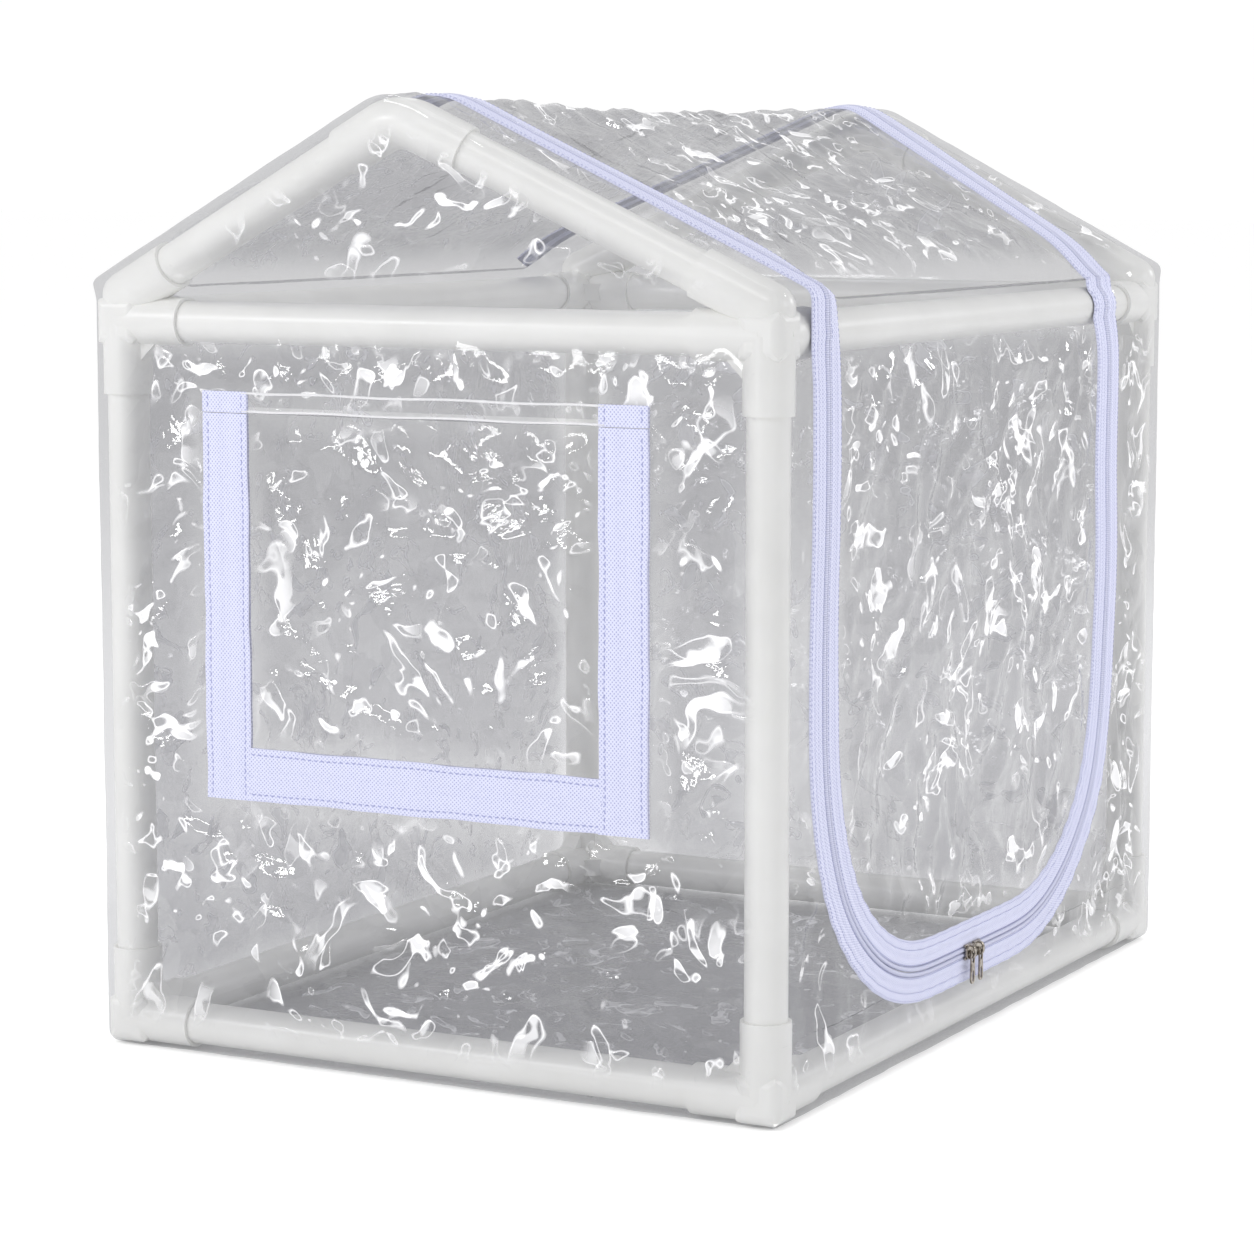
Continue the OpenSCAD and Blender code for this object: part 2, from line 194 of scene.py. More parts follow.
def grid(name: str, columns: int, rows: int) -> bpy.types.Object:
    """Adds a unit grid with the given number of faces each way, from (0, 0) to (1, 1)."""
    bpy.ops.mesh.primitive_grid_add(
        x_subdivisions=columns, y_subdivisions=rows, size=1, location=(0.5, 0.5, 0)
    )
    obj = take_new(name)
    settle(obj)
    return obj


def grid_points(obj: bpy.types.Object) -> Array:
    """Reads a mesh's vertices as an array."""
    points = np.empty(len(obj.data.vertices) * 3)
    obj.data.vertices.foreach_get("co", points)
    return points.reshape(-1, 3)


def set_points(obj: bpy.types.Object, points: Array) -> None:
    """Writes a mesh's vertices from an array."""
    obj.data.vertices.foreach_set("co", points.reshape(-1))
    obj.data.update()


def set_uv(obj: bpy.types.Object, along: Array, across: Array) -> None:
    """Stores a metric UV map: metres along and across a strip, one pair a vertex."""
    layer = obj.data.uv_layers.get("UVMap") or obj.data.uv_layers.new(name="UVMap")
    index = np.empty(len(obj.data.loops), dtype=np.int64)
    obj.data.loops.foreach_get("vertex_index", index)
    layer.data.foreach_set("uv", np.stack([along[index], across[index]], 1).reshape(-1))


# ---- Finishes ----


@dataclass(frozen=True)
class PipePlastic:
    """White unplasticised PVC, extruded and moulded: satin gloss, faintly uneven under the light."""

    colour: str = "#fafaf7"
    roughness: float = 0.3

    def make(self) -> bpy.types.Material:
        """Builds the material."""
        mat = bpy.data.materials.new("pipe_plastic")
        mat.use_nodes = True
        tree = mat.node_tree
        shader = tree.nodes["Principled BSDF"]
        place = add_node(tree, "TexCoord")
        # Faint flow marks about 40 mm long, and a fine 1.5 mm orange peel
        flow = add_node(tree, "TexNoise", {"Vector": place.outputs["Object"], "Scale": 25.0, "Detail": 4.0})
        peel = add_node(tree, "TexNoise", {"Vector": place.outputs["Object"], "Scale": 650.0, "Detail": 2.0})
        tone = add_node(tree, "ValToRGB", {"Fac": flow.outputs["Fac"]})
        tone.color_ramp.elements[0].position = 0.3
        tone.color_ramp.elements[0].color = linear("#f3f3f0")
        tone.color_ramp.elements[1].position = 0.7
        tone.color_ramp.elements[1].color = linear(self.colour)
        gloss = add_node(
            tree,
            "MapRange",
            {"Value": flow.outputs["Fac"], "To Min": self.roughness - 0.05, "To Max": self.roughness + 0.08},
        )
        bump = add_node(tree, "Bump", {"Height": peel.outputs["Fac"], "Strength": 0.04, "Distance": 0.0004})
        tree.links.new(tone.outputs["Color"], shader.inputs["Base Color"])
        tree.links.new(gloss.outputs["Result"], shader.inputs["Roughness"])
        tree.links.new(bump.outputs["Normal"], shader.inputs["Normal"])
        shader.inputs["IOR"].default_value = 1.53
        shader.inputs["Subsurface Weight"].default_value = 0.08
        shader.inputs["Subsurface Radius"].default_value = (0.002, 0.002, 0.0018)
        return mat


@dataclass(frozen=True)
class ClearFilm:
    """Clear soft PVC sheet, calendered glossy: see-through, greying what lies behind, with sharp gloss on its creases
    and painted white highlights along its folds.
    """

    tint: str = "#e4e4e5"
    crumpled: str = "#cbcbcd"
    haze: float = 0.01
    weld: float = 0.0

    def lean(self, tree: bpy.types.NodeTree, place: bpy.types.NodeSocket, turn: tuple[float, float, float], long: float) -> bpy.types.NodeSocket:
        """Gives space stretched one way, so that patterns in it come out as long folds."""
        return add_node(
            tree,
            "Mapping",
            {"Vector": place, "Rotation": turn, "Scale": (1.0, 1.0, long)},
            vector_type="TEXTURE",
        ).outputs[0]

    def leaves(self, tree: bpy.types.NodeTree, place: bpy.types.NodeSocket, scale: float, level: float, width: float) -> tuple[bpy.types.NodeSocket, bpy.types.NodeSocket]:
        """Gives leaf-shaped islands with steep shores, and the thin line of each shore."""
        rough = add_node(tree, "TexNoise", {"Vector": place, "Scale": scale, "Detail": 1.0})
        island = self.step(tree, rough.outputs["Fac"], level - width, level + width)
        near = add_node(tree, "Math", {0: rough.outputs["Fac"], 1: level}, operation="SUBTRACT")
        away = add_node(tree, "Math", {0: near.outputs[0]}, operation="ABSOLUTE")
        line = add_node(
            tree, "MapRange", {"Value": away.outputs[0], "From Max": width * 1.3, "To Min": 1.0, "To Max": 0.0}
        ).outputs["Result"]
        return island, line

    def shards(self, tree: bpy.types.NodeTree, place: bpy.types.NodeSocket, scale: float) -> tuple[bpy.types.NodeSocket, bpy.types.NodeSocket]:
        """Gives flat facets, each tilted its own way, and a random value for each."""
        cells = add_node(tree, "TexVoronoi", {"Vector": place, "Scale": scale})
        offset = add_node(tree, "VectorMath", {0: place, 1: cells.outputs["Position"]}, operation="SUBTRACT")
        tilt = add_node(tree, "VectorMath", {0: cells.outputs["Color"], 1: (0.5, 0.5, 0.5)}, operation="SUBTRACT")
        height = add_node(tree, "VectorMath", {0: offset.outputs[0], 1: tilt.outputs[0]}, operation="DOT_PRODUCT")
        value = add_node(tree, "SeparateXYZ", {"Vector": cells.outputs["Color"]})
        return self.add(tree, 0.0, height.outputs["Value"], scale), value.outputs["X"]

    def add(self, tree: bpy.types.NodeTree, base: bpy.types.NodeSocket | float, more: bpy.types.NodeSocket, share: float | bpy.types.NodeSocket) -> bpy.types.NodeSocket:
        """Adds a share of one value to another."""
        return add_node(tree, "Math", {0: more, 1: share, 2: base}, operation="MULTIPLY_ADD").outputs[0]

    def times(self, tree: bpy.types.NodeTree, *values: bpy.types.NodeSocket | float) -> bpy.types.NodeSocket:
        """Multiplies values."""
        out = values[0]
        for value in values[1:]:
            out = add_node(tree, "Math", {0: out, 1: value}, operation="MULTIPLY").outputs[0]
        return out

    def step(self, tree: bpy.types.NodeTree, value: bpy.types.NodeSocket, low: float, high: float) -> bpy.types.NodeSocket:
        """Eases a value from 0 at low to 1 at high."""
        return add_node(
            tree, "MapRange", {"Value": value, "From Min": low, "From Max": high}, interpolation_type="SMOOTHSTEP"
        ).outputs["Result"]

    def make(self) -> bpy.types.Material:
        """Builds the material."""
        mat = bpy.data.materials.new("clear_film" if not self.weld else "film_weld")
        mat.use_nodes = True
        tree = mat.node_tree
        tree.nodes.clear()
        place = add_node(tree, "TexCoord").outputs["Object"]
        slack = add_node(tree, "Attribute", attribute_name="slack").outputs["Fac"]
        warp = add_node(tree, "TexNoise", {"Vector": place, "Scale": 14.0, "Detail": 2.5, "Roughness": 0.5})
        moved = add_node(
            tree, "VectorMath", {0: warp.outputs["Color"], 1: (0.06, 0.06, 0.06), 2: place}, operation="MULTIPLY_ADD"
        ).outputs[0]
        # Three leanings of the long folds, 20 to 60 mm long and 4 to 10 mm wide
        rising = self.lean(tree, moved, (0.55, 0.5, 0.2), 5.5)
        falling = self.lean(tree, moved, (-0.75, -0.6, 0.1), 5.0)
        level = self.lean(tree, moved, (1.2, 0.9, 0.4), 6.0)
        region = add_node(tree, "TexNoise", {"Vector": place, "Scale": 10.0, "Detail": 1.0})
        parts = add_node(tree, "SeparateXYZ", {"Vector": region.outputs["Color"]})
        here, there, busy = (self.step(tree, parts.outputs[axis], 0.43, 0.55) for axis in "XYZ")
        lump = add_node(tree, "TexNoise", {"Vector": moved, "Scale": 60.0, "Detail": 1.0}).outputs["Fac"]
        fill = self.step(tree, lump, 0.49, 0.56)
        a_isle, a_line = self.leaves(tree, rising, 46.0, 0.65, 0.016)
        b_isle, b_line = self.leaves(tree, falling, 60.0, 0.65, 0.018)
        c_isle, c_line = self.leaves(tree, level, 84.0, 0.64, 0.024)
        isle, line = self.times(tree, a_isle, here), self.times(tree, a_line, here)
        isle, line = self.add(tree, isle, b_isle, there), self.add(tree, line, b_line, there)
        isle, line = self.add(tree, isle, c_isle, busy), self.add(tree, line, c_line, busy)
        wide, tone = self.shards(tree, rising, 32.0)
        fine = add_node(tree, "TexNoise", {"Vector": moved, "Scale": 130.0, "Detail": 2.0}).outputs["Fac"]
        height = self.add(tree, 0.0, isle, 0.45)
        height = self.add(tree, height, wide, 0.45)
        height = self.add(tree, height, fine, 0.3)
        height = self.times(tree, height, slack)
        bump = add_node(tree, "Bump", {"Height": height, "Strength": 1.0, "Distance": 0.0019})
        facing = add_node(tree, "LayerWeight", {"Blend": 0.5, "Normal": bump.outputs["Normal"]})
        rise = add_node(tree, "Math", {0: facing.outputs["Facing"], 1: 4.5}, operation="POWER")
        fresnel = self.add(tree, 0.045, rise.outputs[0], 0.5)
        mirror = self.times(tree, fresnel, self.add(tree, 0.4, slack, 0.6))
        # Painted highlights: white diffuse mixed in along the fold lines and over some leaf islands stands in for
        # glints of light on the creases; only the constant haze, the weld's whitening and a small random share are the
        # film's own milkiness.
        haze_and_painted_glint = self.times(tree, line, slack, 0.75)
        haze_and_painted_glint = self.add(tree, haze_and_painted_glint, self.times(tree, isle, fill, slack), 0.6)
        haze_and_painted_glint = self.add(tree, haze_and_painted_glint, self.times(tree, tone, slack), 0.025)
        haze_and_painted_glint = add_node(tree, "Math", {0: haze_and_painted_glint, 1: self.haze + self.weld}, operation="ADD").outputs[0]
        haze_and_painted_glint = add_node(tree, "Math", {0: haze_and_painted_glint, 1: 0.92}, operation="MINIMUM").outputs[0]
        loss = self.times(tree, slack, self.add(tree, 0.72, tone, 0.56))
        tint = add_node(
            tree, "Mix", {0: loss, 6: linear(self.tint), 7: linear(self.crumpled)}, data_type="RGBA"
        ).outputs[2]
        clear = add_node(tree, "BsdfTransparent", {"Color": tint})
        gloss = add_node(
            tree, "BsdfGlossy", {"Color": linear("#ffffff"), "Roughness": 0.05, "Normal": bump.outputs["Normal"]}
        )
        # The white diffuse carries the painted highlights on the folds as well as the film's own haze.
        white = add_node(tree, "BsdfDiffuse", {"Color": linear("#fbfbfd")})
        hazy_with_painted_glint = add_node(tree, "MixShader", {0: haze_and_painted_glint, 1: clear.outputs[0], 2: white.outputs[0]})
        both = add_node(tree, "MixShader", {0: mirror, 1: hazy_with_painted_glint.outputs[0], 2: gloss.outputs[0]})
        add_node(tree, "OutputMaterial", {"Surface": both.outputs[0]})
        return mat


class Weave(Enum):
    """The woven patterns, with the pitch along and across in millimetres, drawn coarser than the real 1 mm threads so that they show."""

    TAPE = (2.3, 1.9)
    HOOK = (2.6, 2.4)


@dataclass(frozen=True)
class WovenTape:
    """White polyester webbing with a blue-white brightener: matt, with a thread pattern on its own UV map, darker in
    the weave's hollows as painted shade between the threads.
    """

    weave: Weave
    light: str = "#c9cbe1"
    weave_shade: str = "#9fa2c2"

    def make(self) -> bpy.types.Material:
        """Builds the material."""
        mat = bpy.data.materials.new("woven_" + self.weave.name.lower())
        mat.use_nodes = True
        tree = mat.node_tree
        shader = tree.nodes["Principled BSDF"]
        place = add_node(tree, "TexCoord")
        split = add_node(tree, "SeparateXYZ", {"Vector": place.outputs["UV"]})
        waves = []
        for axis, pitch in zip(("X", "Y"), self.weave.value):
            turn = add_node(
                tree, "Math", {0: split.outputs[axis], 1: 2 * math.pi / (pitch * MM)}, operation="MULTIPLY"
            )
            waves.append(add_node(tree, "Math", {0: turn.outputs[0]}, operation="SINE"))
        knit = add_node(tree, "Math", {0: waves[0].outputs[0], 1: waves[1].outputs[0]}, operation="MULTIPLY")
        level = add_node(tree, "MapRange", {"Value": knit.outputs[0], "From Min": -1.0, "From Max": 1.0})
        fuzz = add_node(tree, "TexNoise", {"Vector": place.outputs["Object"], "Scale": 900.0, "Detail": 3.0})
        blend = add_node(
            tree, "Math", {0: fuzz.outputs["Fac"], 1: 0.5, 2: level.outputs["Result"]}, operation="MULTIPLY_ADD"
        )
        # Painted shade: the weave's low spots, which the bump also sinks, take the darker colour, with random fuzz
        # mixed in.
        tone = add_node(tree, "ValToRGB", {"Fac": blend.outputs[0]})
        tone.color_ramp.elements[0].position = 0.3
        tone.color_ramp.elements[0].color = linear(self.weave_shade)
        tone.color_ramp.elements[1].position = 0.75
        tone.color_ramp.elements[1].color = linear(self.light)
        bump = add_node(tree, "Bump", {"Height": blend.outputs[0], "Strength": 0.6, "Distance": 0.0003})
        tree.links.new(tone.outputs["Color"], shader.inputs["Base Color"])
        tree.links.new(bump.outputs["Normal"], shader.inputs["Normal"])
        shader.inputs["Roughness"].default_value = 0.85
        shader.inputs["Sheen Weight"].default_value = 0.25
        shader.inputs["Sheen Roughness"].default_value = 0.5
        return mat


@dataclass(frozen=True)
class CoilNylon:
    """White nylon monofilament wound into a coil: turns 1.3 mm apart, drawn across the strip from its UV map, with
    painted shade in the gaps between the turns.
    """

    pitch: float = 1.3

    def make(self) -> bpy.types.Material:
        """Builds the material."""
        mat = bpy.data.materials.new("coil_nylon")
        mat.use_nodes = True
        tree = mat.node_tree
        shader = tree.nodes["Principled BSDF"]
        place = add_node(tree, "TexCoord")
        split = add_node(tree, "SeparateXYZ", {"Vector": place.outputs["UV"]})
        turn = add_node(tree, "Math", {0: split.outputs["X"], 1: 2 * math.pi / (self.pitch * MM)}, operation="MULTIPLY")
        wave = add_node(tree, "Math", {0: turn.outputs[0]}, operation="SINE")
        level = add_node(tree, "MapRange", {"Value": wave.outputs[0], "From Min": -1.0, "From Max": 1.0})
        # Painted shade: the gaps between the coil's turns, where the bump is lowest, take the darker colour.
        tone = add_node(tree, "ValToRGB", {"Fac": level.outputs["Result"]})
        tone.color_ramp.elements[0].color = linear("#aaadc8")
        tone.color_ramp.elements[1].position = 0.6
        tone.color_ramp.elements[1].color = linear("#c6c8de")
        bump = add_node(tree, "Bump", {"Height": level.outputs["Result"], "Strength": 0.7, "Distance": 0.0004})
        tree.links.new(tone.outputs["Color"], shader.inputs["Base Color"])
        tree.links.new(bump.outputs["Normal"], shader.inputs["Normal"])
        shader.inputs["Roughness"].default_value = 0.35
        return mat


@dataclass(frozen=True)
class SewingThread:
    """White polyester thread, twisted: soft sheen."""

    colour: str = "#a3a7cc"

    def make(self) -> bpy.types.Material:
        """Builds the material."""
        mat = bpy.data.materials.new("sewing_thread")
        mat.use_nodes = True
        tree = mat.node_tree
        shader = tree.nodes["Principled BSDF"]
        place = add_node(tree, "TexCoord")
        twist = add_node(tree, "TexNoise", {"Vector": place.outputs["Object"], "Scale": 1500.0})
        tone = add_node(tree, "ValToRGB", {"Fac": twist.outputs["Fac"]})
        tone.color_ramp.elements[0].color = linear("#7f84b2")
        tone.color_ramp.elements[1].color = linear(self.colour)
        tree.links.new(tone.outputs["Color"], shader.inputs["Base Color"])
        shader.inputs["Roughness"].default_value = 0.6
        return mat


@dataclass(frozen=True)
class NickelPlate:
    """Nickel-plated zinc casting, tumbled: bright grey metal with fine scuffs and darker hollows."""

    colour: str = "#b4aca2"

    def make(self) -> bpy.types.Material:
        """Builds the material."""
        mat = bpy.data.materials.new("nickel_plate")
        mat.use_nodes = True
        tree = mat.node_tree
        shader = tree.nodes["Principled BSDF"]
        place = add_node(tree, "TexCoord")
        scuff = add_node(tree, "TexNoise", {"Vector": place.outputs["Object"], "Scale": 420.0, "Detail": 5.0})
        tone = add_node(tree, "ValToRGB", {"Fac": scuff.outputs["Fac"]})
        tone.color_ramp.elements[0].position = 0.3
        tone.color_ramp.elements[0].color = linear("#6f685f")
        tone.color_ramp.elements[1].position = 0.65
        tone.color_ramp.elements[1].color = linear(self.colour)
        gloss = add_node(tree, "MapRange", {"Value": scuff.outputs["Fac"], "To Min": 0.14, "To Max": 0.34})
        bump = add_node(tree, "Bump", {"Height": scuff.outputs["Fac"], "Strength": 0.15, "Distance": 0.0002})
        tree.links.new(tone.outputs["Color"], shader.inputs["Base Color"])
        tree.links.new(gloss.outputs["Result"], shader.inputs["Roughness"])
        tree.links.new(bump.outputs["Normal"], shader.inputs["Normal"])
        shader.inputs["Metallic"].default_value = 1.0
        return mat


class Finishes:
    """All the materials of the hutch, each made once."""

    def __init__(self) -> None:
        """Builds every material."""
        self.pipe = PipePlastic().make()
        self.film = ClearFilm().make()
        self.weld = ClearFilm(weld=0.5).make()
        self.tape = WovenTape(Weave.TAPE).make()
        self.hook = WovenTape(Weave.HOOK, light="#c6c8de", weave_shade="#8f93b8").make()
        self.coil = CoilNylon().make()
        self.thread = SewingThread().make()
        self.nickel = NickelPlate().make()


def dress(obj: bpy.types.Object, *materials: bpy.types.Material) -> None:
    """Replaces an object's materials."""
    obj.data.materials.clear()
    for material in materials:
        obj.data.materials.append(material)


# ---- The cover's shape ----


@dataclass
class CoverShape:
    """The sharp outer form of the cover, its rounding over the frame, and how the film lies on it."""

    round_edge: float = 8 * MM
    round_ridge: float = 34 * MM
    sag: float = 7 * MM
    eave_drop: float = 9.5 * MM
    tan_slope: float = 105 / 215
    tan_lean: float = 35 / 105
    x: float = field(init=False)
    y: float = field(init=False)
    floor: float = field(init=False)
    fold: float = field(init=False)
    ridge: float = field(init=False)
    eave: float = field(init=False)
    slope: float = field(init=False)

    def __post_init__(self) -> None:
        """Reads the film's planes from the frame."""
        low, high = (np.array(v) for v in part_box("door_wall_film"))
        self.x = float(low[0] + high[0]) / 2
        low, high = (np.array(v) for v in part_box("window_wall_film"))
        self.y = -float(low[1] + high[1]) / 2
        self.fold = float(high[2])
        low, high = (np.array(v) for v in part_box("floor_film"))
        self.floor = float(low[2] + high[2]) / 2
        top = float(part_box("roof_film_front_left")[1][2])
        half = 0.4 * MM * math.hypot(1, self.tan_slope)
        self.ridge = top - half
        self.eave = self.ridge - self.x * self.tan_slope
        self.slope = self.x * math.hypot(1, self.tan_slope)
        self.inner = self.inner_outline()

    def inner_outline(self) -> Array:
        """Builds the outline, in x and z, that the film's rounding rolls on.

        Returns:
            Corner points of a convex outline, anticlockwise.
        """
        r = self.round_edge
        angle = math.atan(self.tan_slope)
        wall = self.x - r
        top = self.ridge - r / math.cos(angle)
        foot = self.floor + r
        points = [(-wall, foot), (wall, foot), (wall, top - wall * self.tan_slope)]
        centre = top - self.round_ridge / math.cos(angle)
        for step in range(9):
            turn = angle * (1 - step / 4)
            points.append((self.round_ridge * math.sin(turn), centre + self.round_ridge * math.cos(turn)))
        points.append((-wall, top - wall * self.tan_slope))
        return np.array(points)

    def end(self, z: Array) -> Array:
        """Gives how far the gable walls stand from the middle at height z."""
        return self.y + np.maximum(0, z - self.fold) * self.tan_lean

    def girdle(self, s: Array, y: Array) -> Array:
        """Places points on the strip that runs up the left wall, over the roof and down the door wall.

        Args:
            s: distance from the ridge along the strip, positive towards the door wall.
            y: distance along the ridge.

        Returns:
            Points on the sharp form.
        """
        down = np.minimum(np.abs(s), self.slope)
        run = 1 / math.hypot(1, self.tan_slope)
        x = np.sign(s) * down * run
        z = self.ridge - down * run * self.tan_slope - np.maximum(0, np.abs(s) - self.slope)
        return np.stack([x, y, z], 1)

    def rounded(self, points: Array) -> tuple[Array, Array]:
        """Rounds the sharp form's edges.

        Args:
            points: points on the sharp form.

        Returns:
            The points on the rounded form, and the outward directions there.
        """
        flat = points[:, [0, 2]]
        best = np.full(len(flat), np.inf)
        near = flat.copy()
        inside = np.ones(len(flat), bool)
        for a, b in zip(self.inner, np.roll(self.inner, -1, 0)):
            side = b - a
            inside &= side[0] * (flat[:, 1] - a[1]) - side[1] * (flat[:, 0] - a[0]) >= 0
            t = np.clip(((flat - a) @ side) / (side @ side), 0, 1)
            foot = a + t[:, None] * side
            gap = np.linalg.norm(flat - foot, axis=1)
            take = gap < best
            best[take] = gap[take]
            near[take] = foot[take]
        near[inside] = flat[inside]
        limit = self.end(points[:, 2]) - self.round_edge
        core = np.stack([near[:, 0], np.clip(points[:, 1], -limit, limit), near[:, 1]], 1)
        out = points - core
        out /= np.maximum(np.linalg.norm(out, axis=1), 1e-9)[:, None]
        return core + self.round_edge * out, out

    def rest(self, points: Array) -> Array:
        """Gives how free the film is at each point: 0 over the pipes and fittings, 1 well away from them.

        Args:
            points: points on the sharp form.

        Returns:
            Numbers from 0 to 1.
        """
        x, y, z = np.abs(points[:, 0]), np.abs(points[:, 1]), points[:, 2]
        roof = self.ridge - x * self.tan_slope
        from_x = self.x - x
        from_y = self.end(z) - y
        from_floor = z - self.floor
        from_roof = roof - z
        from_eave = np.abs(z - self.fold + 4 * MM)
        gaps = np.stack([from_x, from_y, from_floor, from_roof], 1)
        gaps.sort(axis=1)
        away = gaps[:, 1]
        on_wall = (gaps[:, 0] == from_x) | (gaps[:, 0] == from_y)
        away = np.where(on_wall, np.minimum(away, from_eave), away)
        return smooth(14 * MM, 42 * MM, away)

    def drape(self, points: Array) -> Array:
        """Gives the broad lie of the film off the rounded form: the roof's sag and slow waves.

        Args:
            points: points on the sharp form.

        Returns:
            Distances outwards, in metres.
        """
        x, y, z = points.T
        free = self.rest(points)
        on_roof = smooth(-2 * MM, 2 * MM, z - (self.ridge - np.abs(x) * self.tan_slope) + 3 * MM)
        high = 1 - smooth(0.0, self.x, np.abs(x))
        dip = -self.sag * on_roof * (1 - np.clip(np.abs(y) / (self.y - 0.02), 0, 1) ** 2) * (0.25 + 0.75 * high)
        waves = np.array([noise.noise(Vector((p * 9.0).tolist())) for p in points]) * 2.2 * MM
        low = smooth(0.075, 0.14, z)
        corner = np.hypot(np.abs(x) - self.x, z - self.eave)
        inside = smooth(56 * MM, 100 * MM, self.end(z) - np.abs(y))
        slump = -self.eave_drop * np.exp(-((corner / (30 * MM)) ** 2)) * inside
        return dip + slump + waves * free * low * (1 - 0.6 * on_roof)

    def creases(self, points: Array) -> Array:
        """Gives the sharp creases of film that was stored folded.

        Args:
            points: points on the sharp form.

        Returns:
            Distances outwards, in metres.
        """
        out = np.empty(len(points))
        turns = [Euler(turn).to_matrix() for turn in ((0.5, 0.45, 0.2), (-0.8, -0.6, 0.1), (1.25, 0.8, 0.5))]
        scales = (Vector((30, 34, 7)), Vector((38, 36, 8)), Vector((64, 60, 17)))
        depths = (5.2, 4.2, 1.9)
        for index, p in enumerate(points.tolist()):
            v = Vector(p)
            w = v + noise.noise_vector(v * 10.0) * 0.035
            high = 0.0
            for turn, scale, depth in zip(turns, scales, depths):
                at = turn @ w
                high += (0.3 - abs(noise.noise(Vector((at.x * scale.x, at.y * scale.y, at.z * scale.z))))) * depth
            out[index] = high * MM
        return out


@dataclass
class ZipRoute:
    """The zip's middle line on the strip that runs over the roof, and how far it is from any point."""

    cover: CoverShape
    front: float = -0.245
    rear: float = 0.195
    front_drift: float = 0.023
    rear_drift: float = 0.095
    bend: float = 0.150
    low_z: float = 0.054
    end_gap: float = 0.012
    step: float = 0.004

    def __post_init__(self) -> None:
        """Draws the line from the left eave over the roof, round the U and back."""
        slope = self.cover.slope
        low = slope + (self.cover.eave - self.low_z)
        self.low = low
        raw = [np.array([[-(slope - self.end_gap), self.line_y(-1, slope - self.end_gap)], [0, self.line_y(-1, 0)]])]
        raw.append(np.array([[slope, self.front], [low - self.bend, self.front]]))
        turn = np.linspace(0, math.pi / 2, 40)[1:]
        raw.append(
            np.stack(
                [low - self.bend + self.bend * np.sin(turn), self.front + self.bend - self.bend * np.cos(turn)], 1
            )
        )
        back = [part.copy() for part in (raw[2], raw[1])]
        for part in back:
            part[:, 1] = self.rear - (part[:, 1] - self.front)
        raw.append(back[0][::-1])
        raw.append(back[1][::-1])
        raw.append(np.array([[0, self.line_y(1, 0)], [-(slope - self.end_gap), self.line_y(1, slope - self.end_gap)]]))
        corners = np.concatenate(raw)
        gaps = np.linalg.norm(np.diff(corners, axis=0), axis=1)
        keep = np.concatenate([[True], gaps > 1e-6])
        corners = corners[keep]
        along = np.concatenate([[0], np.cumsum(np.linalg.norm(np.diff(corners, axis=0), axis=1))])
        self.length = float(along[-1])
        fine = np.linspace(0, self.length, int(self.length / 0.002) + 1)
        line = np.stack([np.interp(fine, along, corners[:, 0]), np.interp(fine, along, corners[:, 1])], 1)
        kernel = np.exp(-0.5 * (np.arange(-24, 25) / 8.0) ** 2)
        kernel /= kernel.sum()
        padded = np.concatenate(
            [2 * line[0] - line[24:0:-1], line, 2 * line[-1] - line[-2:-26:-1]]
        )
        self.line = np.stack([np.convolve(padded[:, i], kernel, mode="valid") for i in (0, 1)], 1)
        self.along = fine
        tangent = np.gradient(self.line, axis=0)
        tangent /= np.linalg.norm(tangent, axis=1)[:, None]
        self.normal = np.stack([tangent[:, 1], -tangent[:, 0]], 1)
        middle = np.array([self.cover.slope, (self.front + self.rear) / 2])
        if ((self.line - middle) * self.normal).sum() < 0:
            self.normal = -self.normal

    def line_y(self, side: int, down: float) -> float:
        """Gives the straight line's y on the roof, down metres from the ridge, on the front (-1) or rear (1)."""
        share = 1 - down / self.cover.slope
        if side < 0:
            return self.front - self.front_drift * share
        return self.rear + self.rear_drift * share

    def at(self, along: Array, across: Array) -> tuple[Array, Array]:
        """Places points beside the line.

        Args:
            along: distance along the line.
            across: distance to its outer side.

        Returns:
            Strip coordinates s and y.
        """
        s = np.interp(along, self.along, self.line[:, 0]) + across * np.interp(along, self.along, self.normal[:, 0])
        y = np.interp(along, self.along, self.line[:, 1]) + across * np.interp(along, self.along, self.normal[:, 1])
        return s, y

    def edge_y(self, s: Array, side: int, across: float) -> Array:
        """Gives the y of a film edge that runs beside the line.

        Args:
            s: strip coordinates above the U's lowest run.
            side: -1 for the front line, 1 for the rear line.
            across: distance to the line's outer side.

        Returns:
            The edge's y at each s.
        """
        half = len(self.line) // 2
        part = self.line[:half] if side < 0 else self.line[half:][::-1]
        normal = self.normal[:half] if side < 0 else self.normal[half:][::-1]
        edge = part + across * normal
        order = np.argsort(edge[:, 0])
        return np.interp(s, edge[order, 0], edge[order, 1])

    def gap(self, s: Array, y: Array) -> Array:
        """Gives the distance from strip points to the line."""
        best = np.full(len(s), np.inf)
        points = np.stack([s, y], 1)
        for start in range(0, len(self.line), 4):
            best = np.minimum(best, ((points - self.line[start]) ** 2).sum(1))
        return np.sqrt(best)


def mark_slack(obj: bpy.types.Object, slack: Array) -> None:
    """Stores how loose the film is at each vertex, from 0 to 1."""
    layer = obj.data.attributes.new("slack", "FLOAT", "POINT")
    layer.data.foreach_set("value", slack.astype(np.float32))


